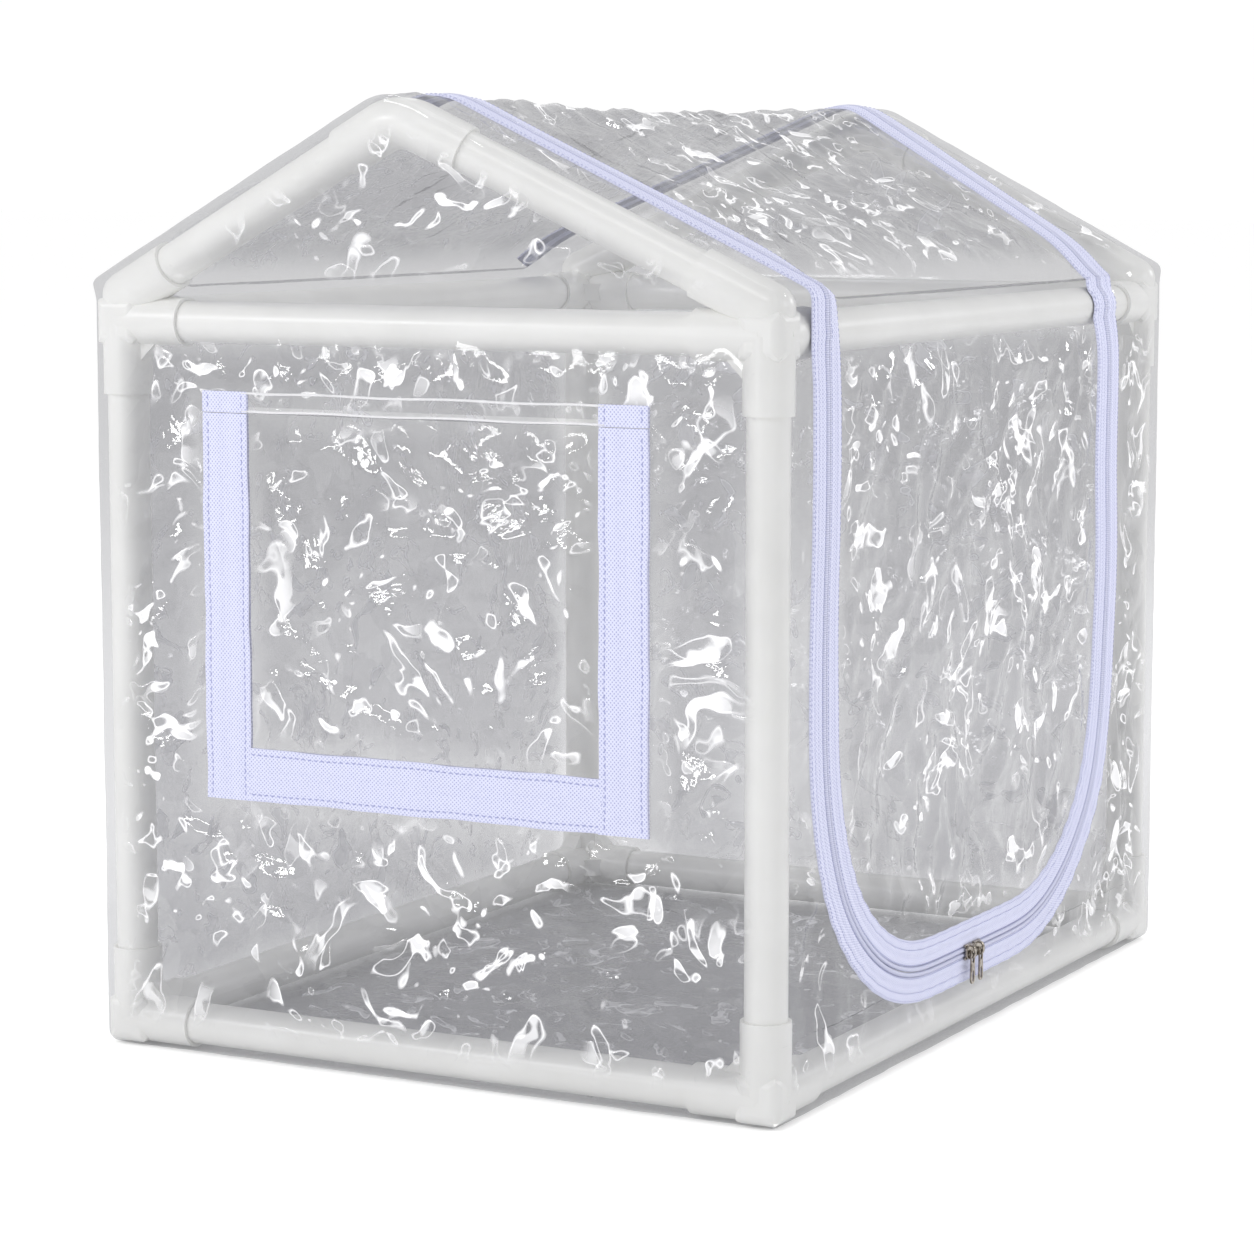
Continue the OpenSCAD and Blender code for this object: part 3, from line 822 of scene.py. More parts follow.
class Skin:
    """Lays grids of film and tape on the cover's form."""

    def __init__(self, cover: CoverShape, route: ZipRoute) -> None:
        """Keeps the form and the zip's line."""
        self.cover = cover
        self.route = route

    def lay_film(self, sharp: Array, calm: Array | float = 1.0) -> Array:
        """Rounds, drapes and creases film.

        Args:
            sharp: points on the sharp form.
            calm: share of the creases kept at each point.

        Returns:
            The film's points.
        """
        points, out = self.cover.rounded(sharp)
        free = self.cover.rest(sharp)
        high = self.cover.creases(sharp) * (0.1 + 0.9 * free) * calm
        floor = -0.25 * MM - 9 * MM * smooth(0.05, 0.6, free)
        high = np.maximum(high, floor)
        points = points + out * (self.cover.drape(sharp) + high)[:, None]
        points[:, 2] = np.maximum(points[:, 2], 0.25 * MM)
        return self.clear_rails(points, 0.7 * MM)

    def clear_rails(self, points: Array, lift: Array | float) -> Array:
        """Keeps the cover outside the two upper side rails and their sockets.

        Args:
            points: points of the cover.
            lift: least height above the plastic.

        Returns:
            The points, moved out where they were too deep.
        """
        low, high = (np.array(v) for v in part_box("top_rail_right"))
        middle = (low + high) / 2
        radius = (high[2] - low[2]) / 2
        over = radius + 2.7 * MM * smooth(-4 * MM, 1 * MM, np.abs(points[:, 1]) - (self.cover.y - 61 * MM)) + lift
        dx = np.abs(points[:, 0]) - middle[0]
        dz = points[:, 2] - middle[2]
        away = np.hypot(dx, dz)
        beside = (dx > -4 * MM) & (np.abs(points[:, 1]) < self.cover.y - 38 * MM)
        push = np.where((away < over) & beside, over / np.maximum(away, 1e-6), 1.0)
        points[:, 0] = np.sign(points[:, 0]) * (middle[0] + dx * push)
        points[:, 2] = middle[2] + dz * push
        return points

    def girdle_calm(self, s: Array, y: Array) -> Array:
        """Gives the share of creases kept beside the zip: none under its tape."""
        return smooth(21 * MM, 40 * MM, self.route.gap(s, y))

    def lay_strip(self, s: Array, y: Array, height: Array) -> Array:
        """Lays tape over the girdle at a height above the film."""
        sharp = self.cover.girdle(s, y)
        points, out = self.cover.rounded(sharp)
        return self.clear_rails(points + out * (self.cover.drape(sharp) + height)[:, None], 0.9 * MM + height)


# ---- Pieces ----


@dataclass
class Frame:
    """The pipe frame: the CAD pipes and fittings with their plastic."""

    finishes: Finishes
    prefixes: tuple[str, ...] = ("post_", "bottom_rail_", "top_rail_", "rafter_", "foot_", "eave_", "ridge_elbow_")

    def build(self) -> None:
        """Dresses every pipe and fitting."""
        for name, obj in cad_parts.items():
            if name.startswith(self.prefixes):
                dress(obj, self.finishes.pipe)
                shade(obj, 38.0)
        self.build_knuckles()
        log.info("frame dressed")

    def build_knuckles(self) -> None:
        """Rounds off the outer end of each rafter socket, as the moulding does."""
        for corner in ("front_left", "front_right", "rear_left", "rear_right"):
            low, high = (np.array(v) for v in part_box(f"post_{corner}"))
            middle = (low + high) / 2
            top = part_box(f"top_rail_{corner.split('_')[0]}")
            height = (top[0][2] + top[1][2]) / 2 + 15 * MM
            bpy.ops.mesh.primitive_uv_sphere_add(
                segments=48, ring_count=24, radius=14.75 * MM, location=(middle[0], middle[1], height)
            )
            knuckle = take_new(f"knuckle_{corner}")
            settle(knuckle)
            bpy.ops.object.shade_smooth()
            dress(knuckle, self.finishes.pipe)
            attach(knuckle, "hutch")


@dataclass
class Cover:
    """The fixed film panels of the cover."""

    skin: Skin
    finishes: Finishes
    cell: float = 3.2 * MM
    seam: float = 6 * MM

    def count(self, size: float) -> int:
        """Gives how many cells fit along a size."""
        return max(2, round(size / self.cell))

    def panel(self, name: str, columns: int, rows: int, shape: Mesher, calm: Callable[[Array], Array] | None = None) -> bpy.types.Object:
        """Builds one block of film.

        Args:
            name: the object's name.
            columns: faces along u.
            rows: faces along v.
            shape: turns u and v, from 0 to 1, into sharp points.
            calm: gives the share of creases kept at sharp points.

        Returns:
            The block.
        """
        obj = grid(name, columns, rows)
        at = grid_points(obj)
        sharp = shape(at[:, 0], at[:, 1])
        kept = np.ones(len(sharp)) if calm is None else calm(sharp)
        set_points(obj, self.skin.lay_film(sharp, kept))
        mark_slack(obj, self.skin.cover.rest(sharp) * (0.15 + 0.85 * kept))
        return obj

    def finish(self, obj: bpy.types.Object, nodes: Sequence[str], flat: tuple[float, float], area: float | None = None, body: str = "hutch", held: str = "stretched", rests: Sequence[str] = ("post_front_left",), extra: Sequence[bpy.types.Object] = ()) -> None:
        """Merges a film piece's doubles, shades it smooth, dresses it, attaches it to its body if it has one and hides
        the CAD parts it replaces.
        """
        select_only(obj)
        bpy.ops.object.mode_set(mode="EDIT")
        bpy.ops.mesh.select_all(action="SELECT")
        bpy.ops.mesh.remove_doubles(threshold=0.00005)
        bpy.ops.object.mode_set(mode="OBJECT")
        bpy.ops.object.shade_smooth()
        dress(obj, self.finishes.film)
        if body:
            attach(obj, body)
        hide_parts(*nodes)
        log.info("film %s", obj.name)

    def build(self) -> None:
        """Builds the floor, the walls, the gables and the fixed roof."""
        self.build_floor()
        self.build_left_wall()
        self.build_end_wall("film_rear_wall", 1)
        self.build_end_wall("film_window_wall", -1)
        self.build_door_wall()
        self.build_fixed_roof("film_roof_front", -1)
        self.build_fixed_roof("film_roof_rear", 1)

    def build_floor(self) -> None:
        """Builds the floor film."""
        c = self.skin.cover

        def shape(u: Array, v: Array) -> Array:
            return np.stack([(2 * u - 1) * c.x, (1 - 2 * v) * c.y, np.full(len(u), c.floor)], 1)

        obj = self.panel("film_floor", self.count(2 * c.x), self.count(2 * c.y), shape)
        self.finish(obj, ["floor_film"], (2 * c.x, 2 * c.y), held="laid", rests=["bottom_rail_front"])

    def build_left_wall(self) -> None:
        """Builds the plain side wall."""
        c = self.skin.cover
        height = c.eave - c.floor

        def shape(u: Array, v: Array) -> Array:
            s = -(c.slope + height * (1 - v))
            z = c.eave - height * (1 - v)
            return c.girdle(s, (1 - 2 * u) * c.end(z))

        obj = self.panel("film_left_wall", self.count(2 * c.y), self.count(height), shape)
        self.finish(obj, ["left_wall_film"], (2 * c.y + 0.008, height))

    def build_end_wall(self, name: str, side: int) -> None:
        """Builds a gable wall from the floor to the ridge, with the window if it faces the front."""
        c = self.skin.cover
        width = 2 * c.x
        columns = self.count(width)
        parts = []

        def wall(low: float, high: float, left: float, right: float) -> Mesher:
            def shape(u: Array, v: Array) -> Array:
                x = (left + (right - left) * u) * -side
                return np.stack([x, np.full(len(u), side * c.y), low + (high - low) * v], 1)

            return shape

        def gable(u: Array, v: Array) -> Array:
            x = (u - 0.5) * width * -side
            top = c.ridge - np.abs(x) * c.tan_slope
            z = c.fold + (top - c.fold) * v
            return np.stack([x, side * c.end(z), z], 1)

        if side > 0:
            parts.append(self.panel(name, columns, self.count(c.fold), wall(c.floor, c.fold, -c.x, c.x)))
        else:
            parts += self.window_blocks(name, wall)
        parts.append(self.panel(name + "_top", columns, self.count(0.09), gable))
        obj = join(parts, name)
        area = width * (c.fold - c.floor) + width * ((c.ridge + c.eave) / 2 - c.fold) * 1.054
        nodes = ["rear_wall_film", "rear_gable_film"] if side > 0 else ["window_wall_film", "front_gable_film"]
        if side < 0:
            low, high = WINDOW[0], WINDOW[1]
            area -= (high[0] - low[0]) * (high[2] - low[2])
        self.finish(obj, nodes, (width, c.ridge - c.floor + 0.01), area=area)

    def window_blocks(self, name: str, wall: Callable[[float, float, float, float], Mesher]) -> list[bpy.types.Object]:
        """Builds the window wall as blocks round the opening."""
        c = self.skin.cover
        low, high = WINDOW
        xs = [-c.x, low[0], high[0], c.x]
        zs = [c.floor, low[2], high[2], c.fold]
        columns = self.split(self.count(2 * c.x), xs)
        parts = []
        for i in range(3):
            for j in range(3):
                if i == 1 and j == 1:
                    continue
                rows = self.count(zs[j + 1] - zs[j])
                block = wall(zs[j], zs[j + 1], xs[i], xs[i + 1])
                parts.append(self.panel(f"{name}_{i}{j}", columns[i], rows, block, self.window_calm))
        return parts

    @staticmethod
    def split(total: int, edges: Sequence[float]) -> list[int]:
        """Shares a number of columns among spans, keeping their sum."""
        spans = np.diff(edges) / (edges[-1] - edges[0]) * total
        counts = [max(1, round(v)) for v in spans]
        counts[1] += total - sum(counts)
        return counts

    @staticmethod
    def window_calm(sharp: Array) -> Array:
        """Keeps the wall flat under the strips round the window."""
        low, high = FLAP
        dx = np.maximum(np.maximum(low[0] - sharp[:, 0], sharp[:, 0] - high[0]), 0)
        dz = np.maximum(np.maximum(low[2] - sharp[:, 2], sharp[:, 2] - high[2]), 0)
        return smooth(3 * MM, 24 * MM, np.hypot(dx, dz))

    def build_door_wall(self) -> None:
        """Builds the side wall round the U-shaped door."""
        c, route = self.skin.cover, self.skin.route
        top, low = c.slope, route.low + self.seam
        foot = c.slope + c.eave - c.floor
        rows = self.count(low - top)

        def limit(s: Array) -> Array:
            return c.end(c.eave - (s - c.slope))

        def rail(v: Array) -> Array:
            """Rows bunch towards the U's lowest run, where its edge turns level."""
            bend = route.bend + self.seam
            straight = low - bend - top
            arc = bend * math.pi / 2
            at = v * (straight + arc)
            return np.where(at < straight, top + at, low - bend + bend * np.sin(np.maximum(0, at - straight) / bend))

        def strip(side: int) -> Mesher:
            def shape(u: Array, v: Array) -> Array:
                s = rail(1 - v)
                inner = route.edge_y(s, side, self.seam)
                outer = side * limit(s)
                y = outer + (inner - outer) * (u if side < 0 else 1 - u)
                return c.girdle(s, y)

            return shape

        def calm(sharp: Array) -> Array:
            s = c.slope + c.eave - sharp[:, 2]
            return self.skin.girdle_calm(s, sharp[:, 1])

        inner = [float(route.edge_y(np.array([low - 0.0002]), side, self.seam)[0]) for side in (-1, 1)]
        columns = [24, self.count(inner[1] - inner[0]), 40]

        def skirt(left: float, right: float) -> Mesher:
            def shape(u: Array, v: Array) -> Array:
                s = low + (foot - low) * (1 - v)
                return c.girdle(s, left + (right - left) * u)

            return shape

        edges = [-c.y, inner[0], inner[1], c.y]
        parts = [
            self.panel("film_door_wall", columns[0] * 2, rows, strip(-1), calm),
            self.panel("film_door_wall_b", columns[2] * 2, rows, strip(1), calm),
        ]
        for index, number in enumerate((columns[0] * 2, columns[1], columns[2] * 2)):
            block = skirt(edges[index], edges[index + 1])
            parts.append(self.panel(f"film_door_wall_c{index}", number, self.count(foot - low), block, calm))
        obj = join(parts, "film_door_wall")
        area = 2 * c.y * (foot - top) - (route.rear - route.front) * (low - top) * 0.9
        self.finish(obj, ["door_wall_film"], (2 * c.y + 0.008, foot - top), area=area)

    def edge_offset(self, s: Array) -> Array:
        """Film edges stop short of the zip's middle, and close up past its end at the left eave."""
        c = self.skin.cover
        return self.seam * (1 - smooth(c.slope - 16 * MM, c.slope - 10 * MM, -s))

    def build_fixed_roof(self, name: str, side: int) -> None:
        """Builds the fixed roof in front of or behind the door."""
        c, route = self.skin.cover, self.skin.route

        def shape(u: Array, v: Array) -> Array:
            s = (2 * u - 1) * c.slope
            z = c.ridge - np.abs(s) / c.slope * (c.ridge - c.eave)
            near = route.edge_y(s, side, 0.0) + side * self.edge_offset(s)
            far = side * c.end(z)
            y = near + (far - near) * (v if side > 0 else 1 - v)
            return c.girdle(s, y)

        def calm(sharp: Array) -> Array:
            s = np.sign(sharp[:, 0]) * (c.ridge - sharp[:, 2]) / (c.ridge - c.eave) * c.slope
            return self.skin.girdle_calm(s, sharp[:, 1])

        ends = c.end(np.array([c.ridge, c.eave]))
        line = [abs(route.line_y(side, 0)), abs(route.line_y(side, c.slope))]
        wide = float((ends[0] - line[0] + ends[1] - line[1]) / 2)
        obj = self.panel(name, self.count(2 * c.slope), self.count(max(float(ends[1] - line[1]), wide)), shape, calm)
        which = "front" if side < 0 else "rear"
        nodes = [f"roof_film_{which}_left", f"roof_film_{which}_right"]
        self.finish(obj, nodes, (2 * c.slope, wide), rests=[f"rafter_{which}_left"])


@dataclass
class Ribbon:
    """A strip with a closed section, swept along a route."""

    name: str
    along: Array
    section: Sequence[tuple[float, float]]
    lift: float = 0.15 * MM

    def build(self, place: Callable[[Array, Array, Array], Array]) -> bpy.types.Object:
        """Sweeps the section.

        Args:
            place: turns distances along, across and up into points.

        Returns:
            The closed strip.
        """
        top = [(a, h) for a, h in self.section]
        ring = top + [(a, self.lift) for a, _ in reversed(top)]
        ring.append(ring[0])
        ring_a = np.array([a for a, _ in ring])
        ring_h = np.array([h for _, h in ring])
        obj = grid(self.name, len(self.along) - 1, len(ring) - 1)
        at = grid_points(obj)
        along = np.interp(at[:, 0], np.linspace(0, 1, len(self.along)), self.along)
        index = np.rint(at[:, 1] * (len(ring) - 1)).astype(int)
        across, height = ring_a[index], ring_h[index]
        set_points(obj, place(along, across, height))
        set_uv(obj, along, across)
        select_only(obj)
        bpy.ops.object.mode_set(mode="EDIT")
        bpy.ops.mesh.select_all(action="SELECT")
        bpy.ops.mesh.remove_doubles(threshold=0.00002)
        bpy.ops.mesh.select_all(action="DESELECT")
        bpy.ops.mesh.select_non_manifold()
        bpy.ops.mesh.fill_holes(sides=0)
        bpy.ops.mesh.select_all(action="SELECT")
        bpy.ops.mesh.normals_make_consistent(inside=False)
        bpy.ops.object.mode_set(mode="OBJECT")
        shade(obj, 50.0)
        return obj


def stitch_line(name: str, along: Array, across: float, height: float, place: Callable[[Array, Array, Array], Array], size: tuple[float, float, float], slant: float = 0.0) -> bpy.types.Object:
    """Sews a row of stitches.

    Args:
        name: the object's name.
        along: where each stitch lies along the strip.
        across: the row's place across the strip.
        height: its height above the film.
        place: turns distances along, across and up into points.
        size: half length, half width and half height of a stitch.
        slant: how far a stitch's far end is set across.

    Returns:
        The row as one mesh.
    """
    bpy.ops.mesh.primitive_ico_sphere_add(subdivisions=1, radius=1)
    one = take_new(name + "_one")
    verts = grid_points(one)
    faces = np.array([list(p.vertices) for p in one.data.polygons])
    count = len(verts)
    a = (along[:, None] + verts[None, :, 0] * size[0]).reshape(-1)
    c = (across + verts[:, 1] * size[1] + verts[:, 0] * slant)[None, :].repeat(len(along), 0).reshape(-1)
    h = (height + verts[:, 2] * size[2])[None, :].repeat(len(along), 0).reshape(-1)
    all_faces = (faces[None] + (np.arange(len(along)) * count)[:, None, None]).reshape(-1, 3)
    mesh = bpy.data.meshes.new(name)
    mesh.from_pydata(place(a, c, h).tolist(), [], all_faces.tolist())
    row = bpy.data.objects.new(name, mesh)
    bpy.context.scene.collection.objects.link(row)
    set_uv(row, a, c)
    bpy.data.objects.remove(one)
    outward(row)
    for polygon in row.data.polygons:
        polygon.use_smooth = True
    return row


def merge_pieces(parts: Sequence[tuple[bpy.types.Object, bpy.types.Material]], name: str) -> bpy.types.Object:
    """Dresses meshes and joins them, each keeping its material."""
    for obj, material in parts:
        dress(obj, material)
    return join([obj for obj, _ in parts], name)


class Half(Enum):
    """The two halves of a zip: the one sewn to the cover and the one sewn to the door."""

    FIXED = 1
    DOOR = -1


@dataclass
class Zip:
    """The zip's tapes, coils and stitching."""

    skin: Skin
    finishes: Finishes
    half_width: float = 19 * MM
    coil_width: float = 3.1 * MM
    split: float = 0.06

    def tape_section(self, half: Half) -> list[tuple[float, float]]:
        """Gives the tape's top line from the coil to its bound edge, as (across, height)."""
        top = [
            (3.2, 0.75), (3.6, 1.35), (4.6, 1.85), (6.0, 1.95), (7.4, 1.6), (8.3, 1.0), (9.0, 0.95), (10.2, 1.5),
            (11.4, 1.7), (12.4, 1.3), (13.0, 0.85), (13.5, 1.25), (14.6, 1.5), (17.4, 1.45), (18.5, 1.2), (18.9, 0.7),
        ]
        return [(half.value * a * MM, h * MM) for a, h in top]

    def coil_section(self, half: Half) -> list[tuple[float, float]]:
        """Gives one coil half's top line."""
        top = [(0.25, 0.9), (0.35, 1.7), (0.8, 2.35), (1.5, 2.6), (2.2, 2.4), (2.9, 1.7), (3.15, 0.8)]
        return [(half.value * a * MM, h * MM) for a, h in top]

    def place(self, along: Array, across: Array, height: Array) -> Array:
        """Places points of the zip beside its middle line."""
        route = self.skin.route
        s, y = route.at(along, across)
        # The tape puckers where it runs round the U's tight corners
        curve = smooth(0.02, 0.09, self.corner(along))
        ripple = 0.35 * MM * np.sin(along / 0.0175 * math.pi * 2 + across * 220) * curve * smooth(4 * MM, 12 * MM, np.abs(across))
        return self.skin.lay_strip(s, y, height + ripple)

    def corner(self, along: Array) -> Array:
        """Gives the distance into the U's curved stretches from their nearer end."""
        route = self.skin.route
        s = np.interp(along, route.along, route.line[:, 0])
        return np.maximum(0, s - (route.low - route.bend))

    def crossings(self, s: float) -> tuple[float, float]:
        """Gives where along the line it crosses strip coordinate s, in front and at the rear."""
        route = self.skin.route
        half = len(route.line) // 2
        first = float(np.interp(s, route.line[:half, 0], route.along[:half]))
        last = float(np.interp(s, route.line[half:, 0][::-1], route.along[half:][::-1]))
        return first, last

    def stretch(self, name: str, half: Half, start: float, stop: float) -> list[tuple[bpy.types.Object, bpy.types.Material]]:
        """Builds tape, coil and stitches of one half between two places along the line."""
        count = max(2, round((stop - start) / 0.004))
        along = np.linspace(start, stop, count + 1)
        tape = Ribbon(name, along, self.tape_section(half)).build(self.place)
        coil = Ribbon(name + "_coil", along, self.coil_section(half)).build(self.place)
        parts = [(tape, self.finishes.tape), (coil, self.finishes.coil)]
        pitch = 3.2 * MM
        marks = np.arange(start + pitch / 2, stop - pitch / 4, pitch)
        for across, height in ((13.0, 1.02), (17.6, 1.52), (4.0, 1.7)):
            row = stitch_line(
                f"{name}_sew{across:.0f}", marks, half.value * across * MM, height * MM, self.place,
                (1.15 * MM, 0.24 * MM, 0.2 * MM),
            )
            parts.append((row, self.finishes.thread))
        return parts

    def build_fixed(self) -> None:
        """Builds the half that stays on the cover."""
        route = self.skin.route
        parts = self.stretch("zip_fixed", Half.FIXED, 0.0, route.length)
        obj = merge_pieces(parts, "zip_fixed")
        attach(obj, "hutch")
        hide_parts("zip_tape_fixed", "zip_coil_fixed")
        log.info("zip fixed half")

    def build_door(self, cuts: Sequence[float]) -> dict[str, bpy.types.Object]:
        """Builds the half on the door, split where the door panels meet.

        Args:
            cuts: strip coordinates of the splits, from the left.

        Returns:
            Part name to object.
        """
        route = self.skin.route
        marks = [self.crossings(cut) for cut in cuts]
        spans = {
            "left": [(0.0, marks[0][0]), (marks[0][1], route.length)],
            "ridge": [(marks[0][0], marks[1][0]), (marks[1][1], marks[0][1])],
            "eave": [(marks[1][0], marks[2][0]), (marks[2][1], marks[1][1])],
            "side": [(marks[2][0], marks[2][1])],
        }
        out = {}
        for part, stretches in spans.items():
            made = []
            for index, (start, stop) in enumerate(stretches):
                made += self.stretch(f"zip_door_{part}_{index}", Half.DOOR, start, stop)
            out[part] = merge_pieces(made, f"zip_door_{part}")
        log.info("zip door half")
        return out


@dataclass
class Door:
    """The zipped film door, in four lengths that bend over the left eave, the ridge and the right eave."""

    cover: Cover
    zip: Zip

    def build(self) -> None:
        """Builds the door's film and its half of the zip."""
        skin = self.cover.skin
        c, route = skin.cover, skin.route
        half = c.slope / 2
        cuts = (-half, half, c.slope + self.zip.split)
        tapes = self.zip.build_door(cuts)
        spans = {"left": (-c.slope, cuts[0]), "ridge": (cuts[0], cuts[1]), "eave": (cuts[1], cuts[2])}
        nodes = {
            "left": ["door_film_left_slope"],
            "ridge": ["door_film_right_slope"],
            "eave": [],
            "side": ["door_film_side"],
        }
        columns = self.cover.count(route.rear - route.front + 0.06)
        for part, (start, stop) in spans.items():
            obj = self.cover.panel(
                f"film_door_{part}", columns, self.cover.count(stop - start), self.slope_shape(start, stop), self.calm
            )
            width = (route.rear - route.front) + (route.front_drift + route.rear_drift) / 2
            self.cover.finish(
                obj, nodes[part], (width, stop - start), body="", rests=["rafter_front_left"], extra=[tapes[part]]
            )
            self.fold(part, obj, tapes[part])
        low = route.low - self.cover.seam
        side = self.cover.panel(
            "film_door_side", columns, self.cover.count(low - cuts[2]) + 20, self.side_shape(cuts[2], low), self.calm
        )
        wide, tall = route.rear - route.front - 0.012, low - cuts[2]
        self.cover.finish(
            side, nodes["side"], (wide, tall), area=wide * tall * 0.93, body="door_side", held="hung",
            rests=["top_rail_right"], extra=[tapes["side"]],
        )
        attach(tapes["side"], "door_side")
        replaced = {
            "left": ("zip_tape_left_slope", "zip_coil_left_slope"),
            "ridge": ("zip_tape_right_slope", "zip_coil_right_slope"),
            "side": ("zip_tape_side", "zip_coil_side"),
        }
        for part, names in replaced.items():
            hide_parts(*names)

    def fold(self, part: str, *pieces: bpy.types.Object) -> None:
        """Bakes each piece's place into its mesh."""
        for obj in pieces:
            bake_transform(obj)

    def slope_shape(self, start: float, stop: float) -> Mesher:
        """Gives the door's film between two strip coordinates on the straight stretch."""
        c, route = self.cover.skin.cover, self.cover.skin.route

        def shape(u: Array, v: Array) -> Array:
            s = stop + (start - stop) * (1 - u)
            s = start + (stop - start) * v
            gap = self.cover.edge_offset(s)
            front = route.edge_y(s, -1, 0.0) + gap
            rear = route.edge_y(s, 1, 0.0) - gap
            return c.girdle(s, rear + (front - rear) * u)

        return shape

    def side_shape(self, start: float, low: float) -> Mesher:
        """Gives the hanging part of the door's film, down to the round of the U."""
        c, route = self.cover.skin.cover, self.cover.skin.route
        seam = self.cover.seam
        bend = route.bend - seam
        straight = low - bend - start
        arc = bend * math.pi / 2

        def shape(u: Array, v: Array) -> Array:
            at = v * (straight + arc)
            s = np.where(at < straight, start + at, low - bend + bend * np.sin(np.maximum(0, at - straight) / bend))
            front = route.edge_y(s, -1, -seam)
            rear = route.edge_y(s, 1, -seam)
            return c.girdle(s, rear + (front - rear) * u)

        return shape

    def calm(self, sharp: Array) -> Array:
        """Keeps the door's film flat beside the zip."""
        c = self.cover.skin.cover
        on_roof = sharp[:, 2] > c.eave + 1e-6
        s = np.where(
            on_roof,
            np.sign(sharp[:, 0]) * (c.ridge - sharp[:, 2]) / (c.ridge - c.eave) * c.slope,
            c.slope + c.eave - sharp[:, 2],
        )
        return self.cover.skin.girdle_calm(s, sharp[:, 1])


WINDOW_EDGE = 2.5 * MM
_wall_low, _wall_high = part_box("window_wall_film")
_flap_low, _flap_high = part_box("loop_strips")
FLAP = (np.array(_flap_low), np.array(_flap_high))
_inset = 31 * MM
WINDOW = (
    np.array([_flap_low[0] + _inset, 0, _flap_low[2] + _inset]),
    np.array([_flap_high[0] - _inset, 0, _flap_high[2] + 4 * MM]),
)


@dataclass
class WindowFlap:
    """The clear flap with its hook strips, and the loop strips and sewn header on the wall."""

    skin: Skin
    finishes: Finishes
    width: float = 32 * MM

    def section(self, thick: float) -> list[tuple[float, float]]:
        """Gives the strip's top line, with raised selvedges and a groove down its middle."""
        base = [
            (-15.9, 0.45), (-15.6, 0.95), (-14.6, 1.1), (-13.0, 1.1), (-11.9, 0.66), (-10.8, 1.02), (-7.0, 1.18),
            (-2.6, 1.12), (-1.7, 0.72), (-1.0, 0.98), (1.0, 0.98), (1.7, 0.72), (2.6, 1.12), (7.0, 1.18), (10.8, 1.02),
            (11.9, 0.66), (13.0, 1.1), (14.6, 1.1), (15.6, 0.95), (15.9, 0.45),
        ]
        return [(a * MM, h * thick) for a, h in base]

    def strip(self, name: str, start: tuple[float, float], end: tuple[float, float], y: float, thick: float, wave: float) -> bpy.types.Object:
        """Builds one woven strip with its sewing.

        Args:
            name: the object's name.
            start: x and z of the middle of one end.
            end: x and z of the middle of the other end.
            y: the strip's back face.
            thick: its thickness.
            wave: how far its edges wander.

        Returns:
            The strip.
        """
        a, b = np.array(start), np.array(end)
        length = float(np.linalg.norm(b - a))
        ahead = (b - a) / length
        aside = np.array([ahead[1], -ahead[0]])

        def place(along: Array, across: Array, height: Array) -> Array:
            wander = wave * np.sin(along * 61.0 + a[0] * 300) + wave * 0.6 * np.sin(along * 143.0 + a[1] * 90)
            cockle = 0.12 * MM * np.sin(along * 260.0) * smooth(6 * MM, 15 * MM, np.abs(across))
            flat = a[None] + along[:, None] * ahead + (across + wander * across / (16 * MM))[:, None] * aside
            return np.stack([flat[:, 0], y - height - cockle, flat[:, 1]], 1)

        steps = np.linspace(0, length, round(length / 0.0035) + 1)
        parts = [(Ribbon(name, steps, self.section(thick), lift=0.02 * MM).build(place), self.finishes.hook)]
        pitch = 4.4 * MM
        marks = np.arange(pitch, length - pitch / 2, pitch)
        for across in (-11.9, 11.9):
            row = stitch_line(
                f"{name}_sew{across:.0f}", marks, across * MM, thick * 0.8, place, (1.6 * MM, 0.42 * MM, 0.24 * MM)
            )
            parts.append((row, self.finishes.thread))
        return merge_pieces(parts, name)

    def build(self, cover: Cover) -> None:
        """Builds the flap, the strips on the wall and the header."""
        hook = {side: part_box(f"hook_strip_{side}") for side in ("left", "right", "bottom")}
        for side, (low, high) in hook.items():
            mid_x, mid_z = (low[0] + high[0]) / 2, (low[2] + high[2]) / 2
            if side == "bottom":
                ends = ((low[0] - 3 * MM, mid_z), (high[0] + 3 * MM, mid_z))
            else:
                ends = ((mid_x, low[2]), (mid_x, high[2]))
            obj = self.strip(f"hook_{side}", *ends, y=high[1], thick=0.75 * MM, wave=0.3 * MM)
            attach(obj, "window_flap")
            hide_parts(f"hook_strip_{side}")
        self.build_loops()
        self.build_tabs()
        self.build_flap(cover)
        self.build_header()

    def build_loops(self) -> None:
        """Builds the loop strips sewn on the wall."""
        low, high = FLAP
        half = self.width / 2
        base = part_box("window_wall_film")[0][1]
        made = []
        spans = [
            ((low[0] + half, low[2]), (low[0] + half, high[2])),
            ((high[0] - half, low[2]), (high[0] - half, high[2])),
            ((low[0] + self.width, low[2] + half), (high[0] - self.width, low[2] + half)),
        ]
        for index, (start, end) in enumerate(spans):
            made.append(self.strip(f"loop_{index}", start, end, y=base, thick=0.8 * MM, wave=0.15 * MM))
        obj = join(made, "loop_strips_woven")
        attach(obj, "hutch")
        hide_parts("loop_strips")

    def build_tabs(self) -> None:
        """Builds the strips' folded upper ends, sewn over the header."""
        low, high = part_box("strip_tabs")
        made = []
        for side in (-1, 1):
            x = side * (high[0] - self.width / 2)
            tab = self.strip(f"tab_{side}", (x, low[2]), (x, high[2]), y=low[1] + 0.95 * MM, thick=0.7 * MM, wave=0.1 * MM)
            made.append(tab)
            under = self.strip(f"tab_under_{side}", (x, low[2]), (x, high[2] - 0.8 * MM), y=high[1], thick=1.2 * MM, wave=0.1 * MM)
            made.append(under)
        obj = join(made, "strip_tabs_woven")
        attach(obj, "hutch")
        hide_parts("strip_tabs")

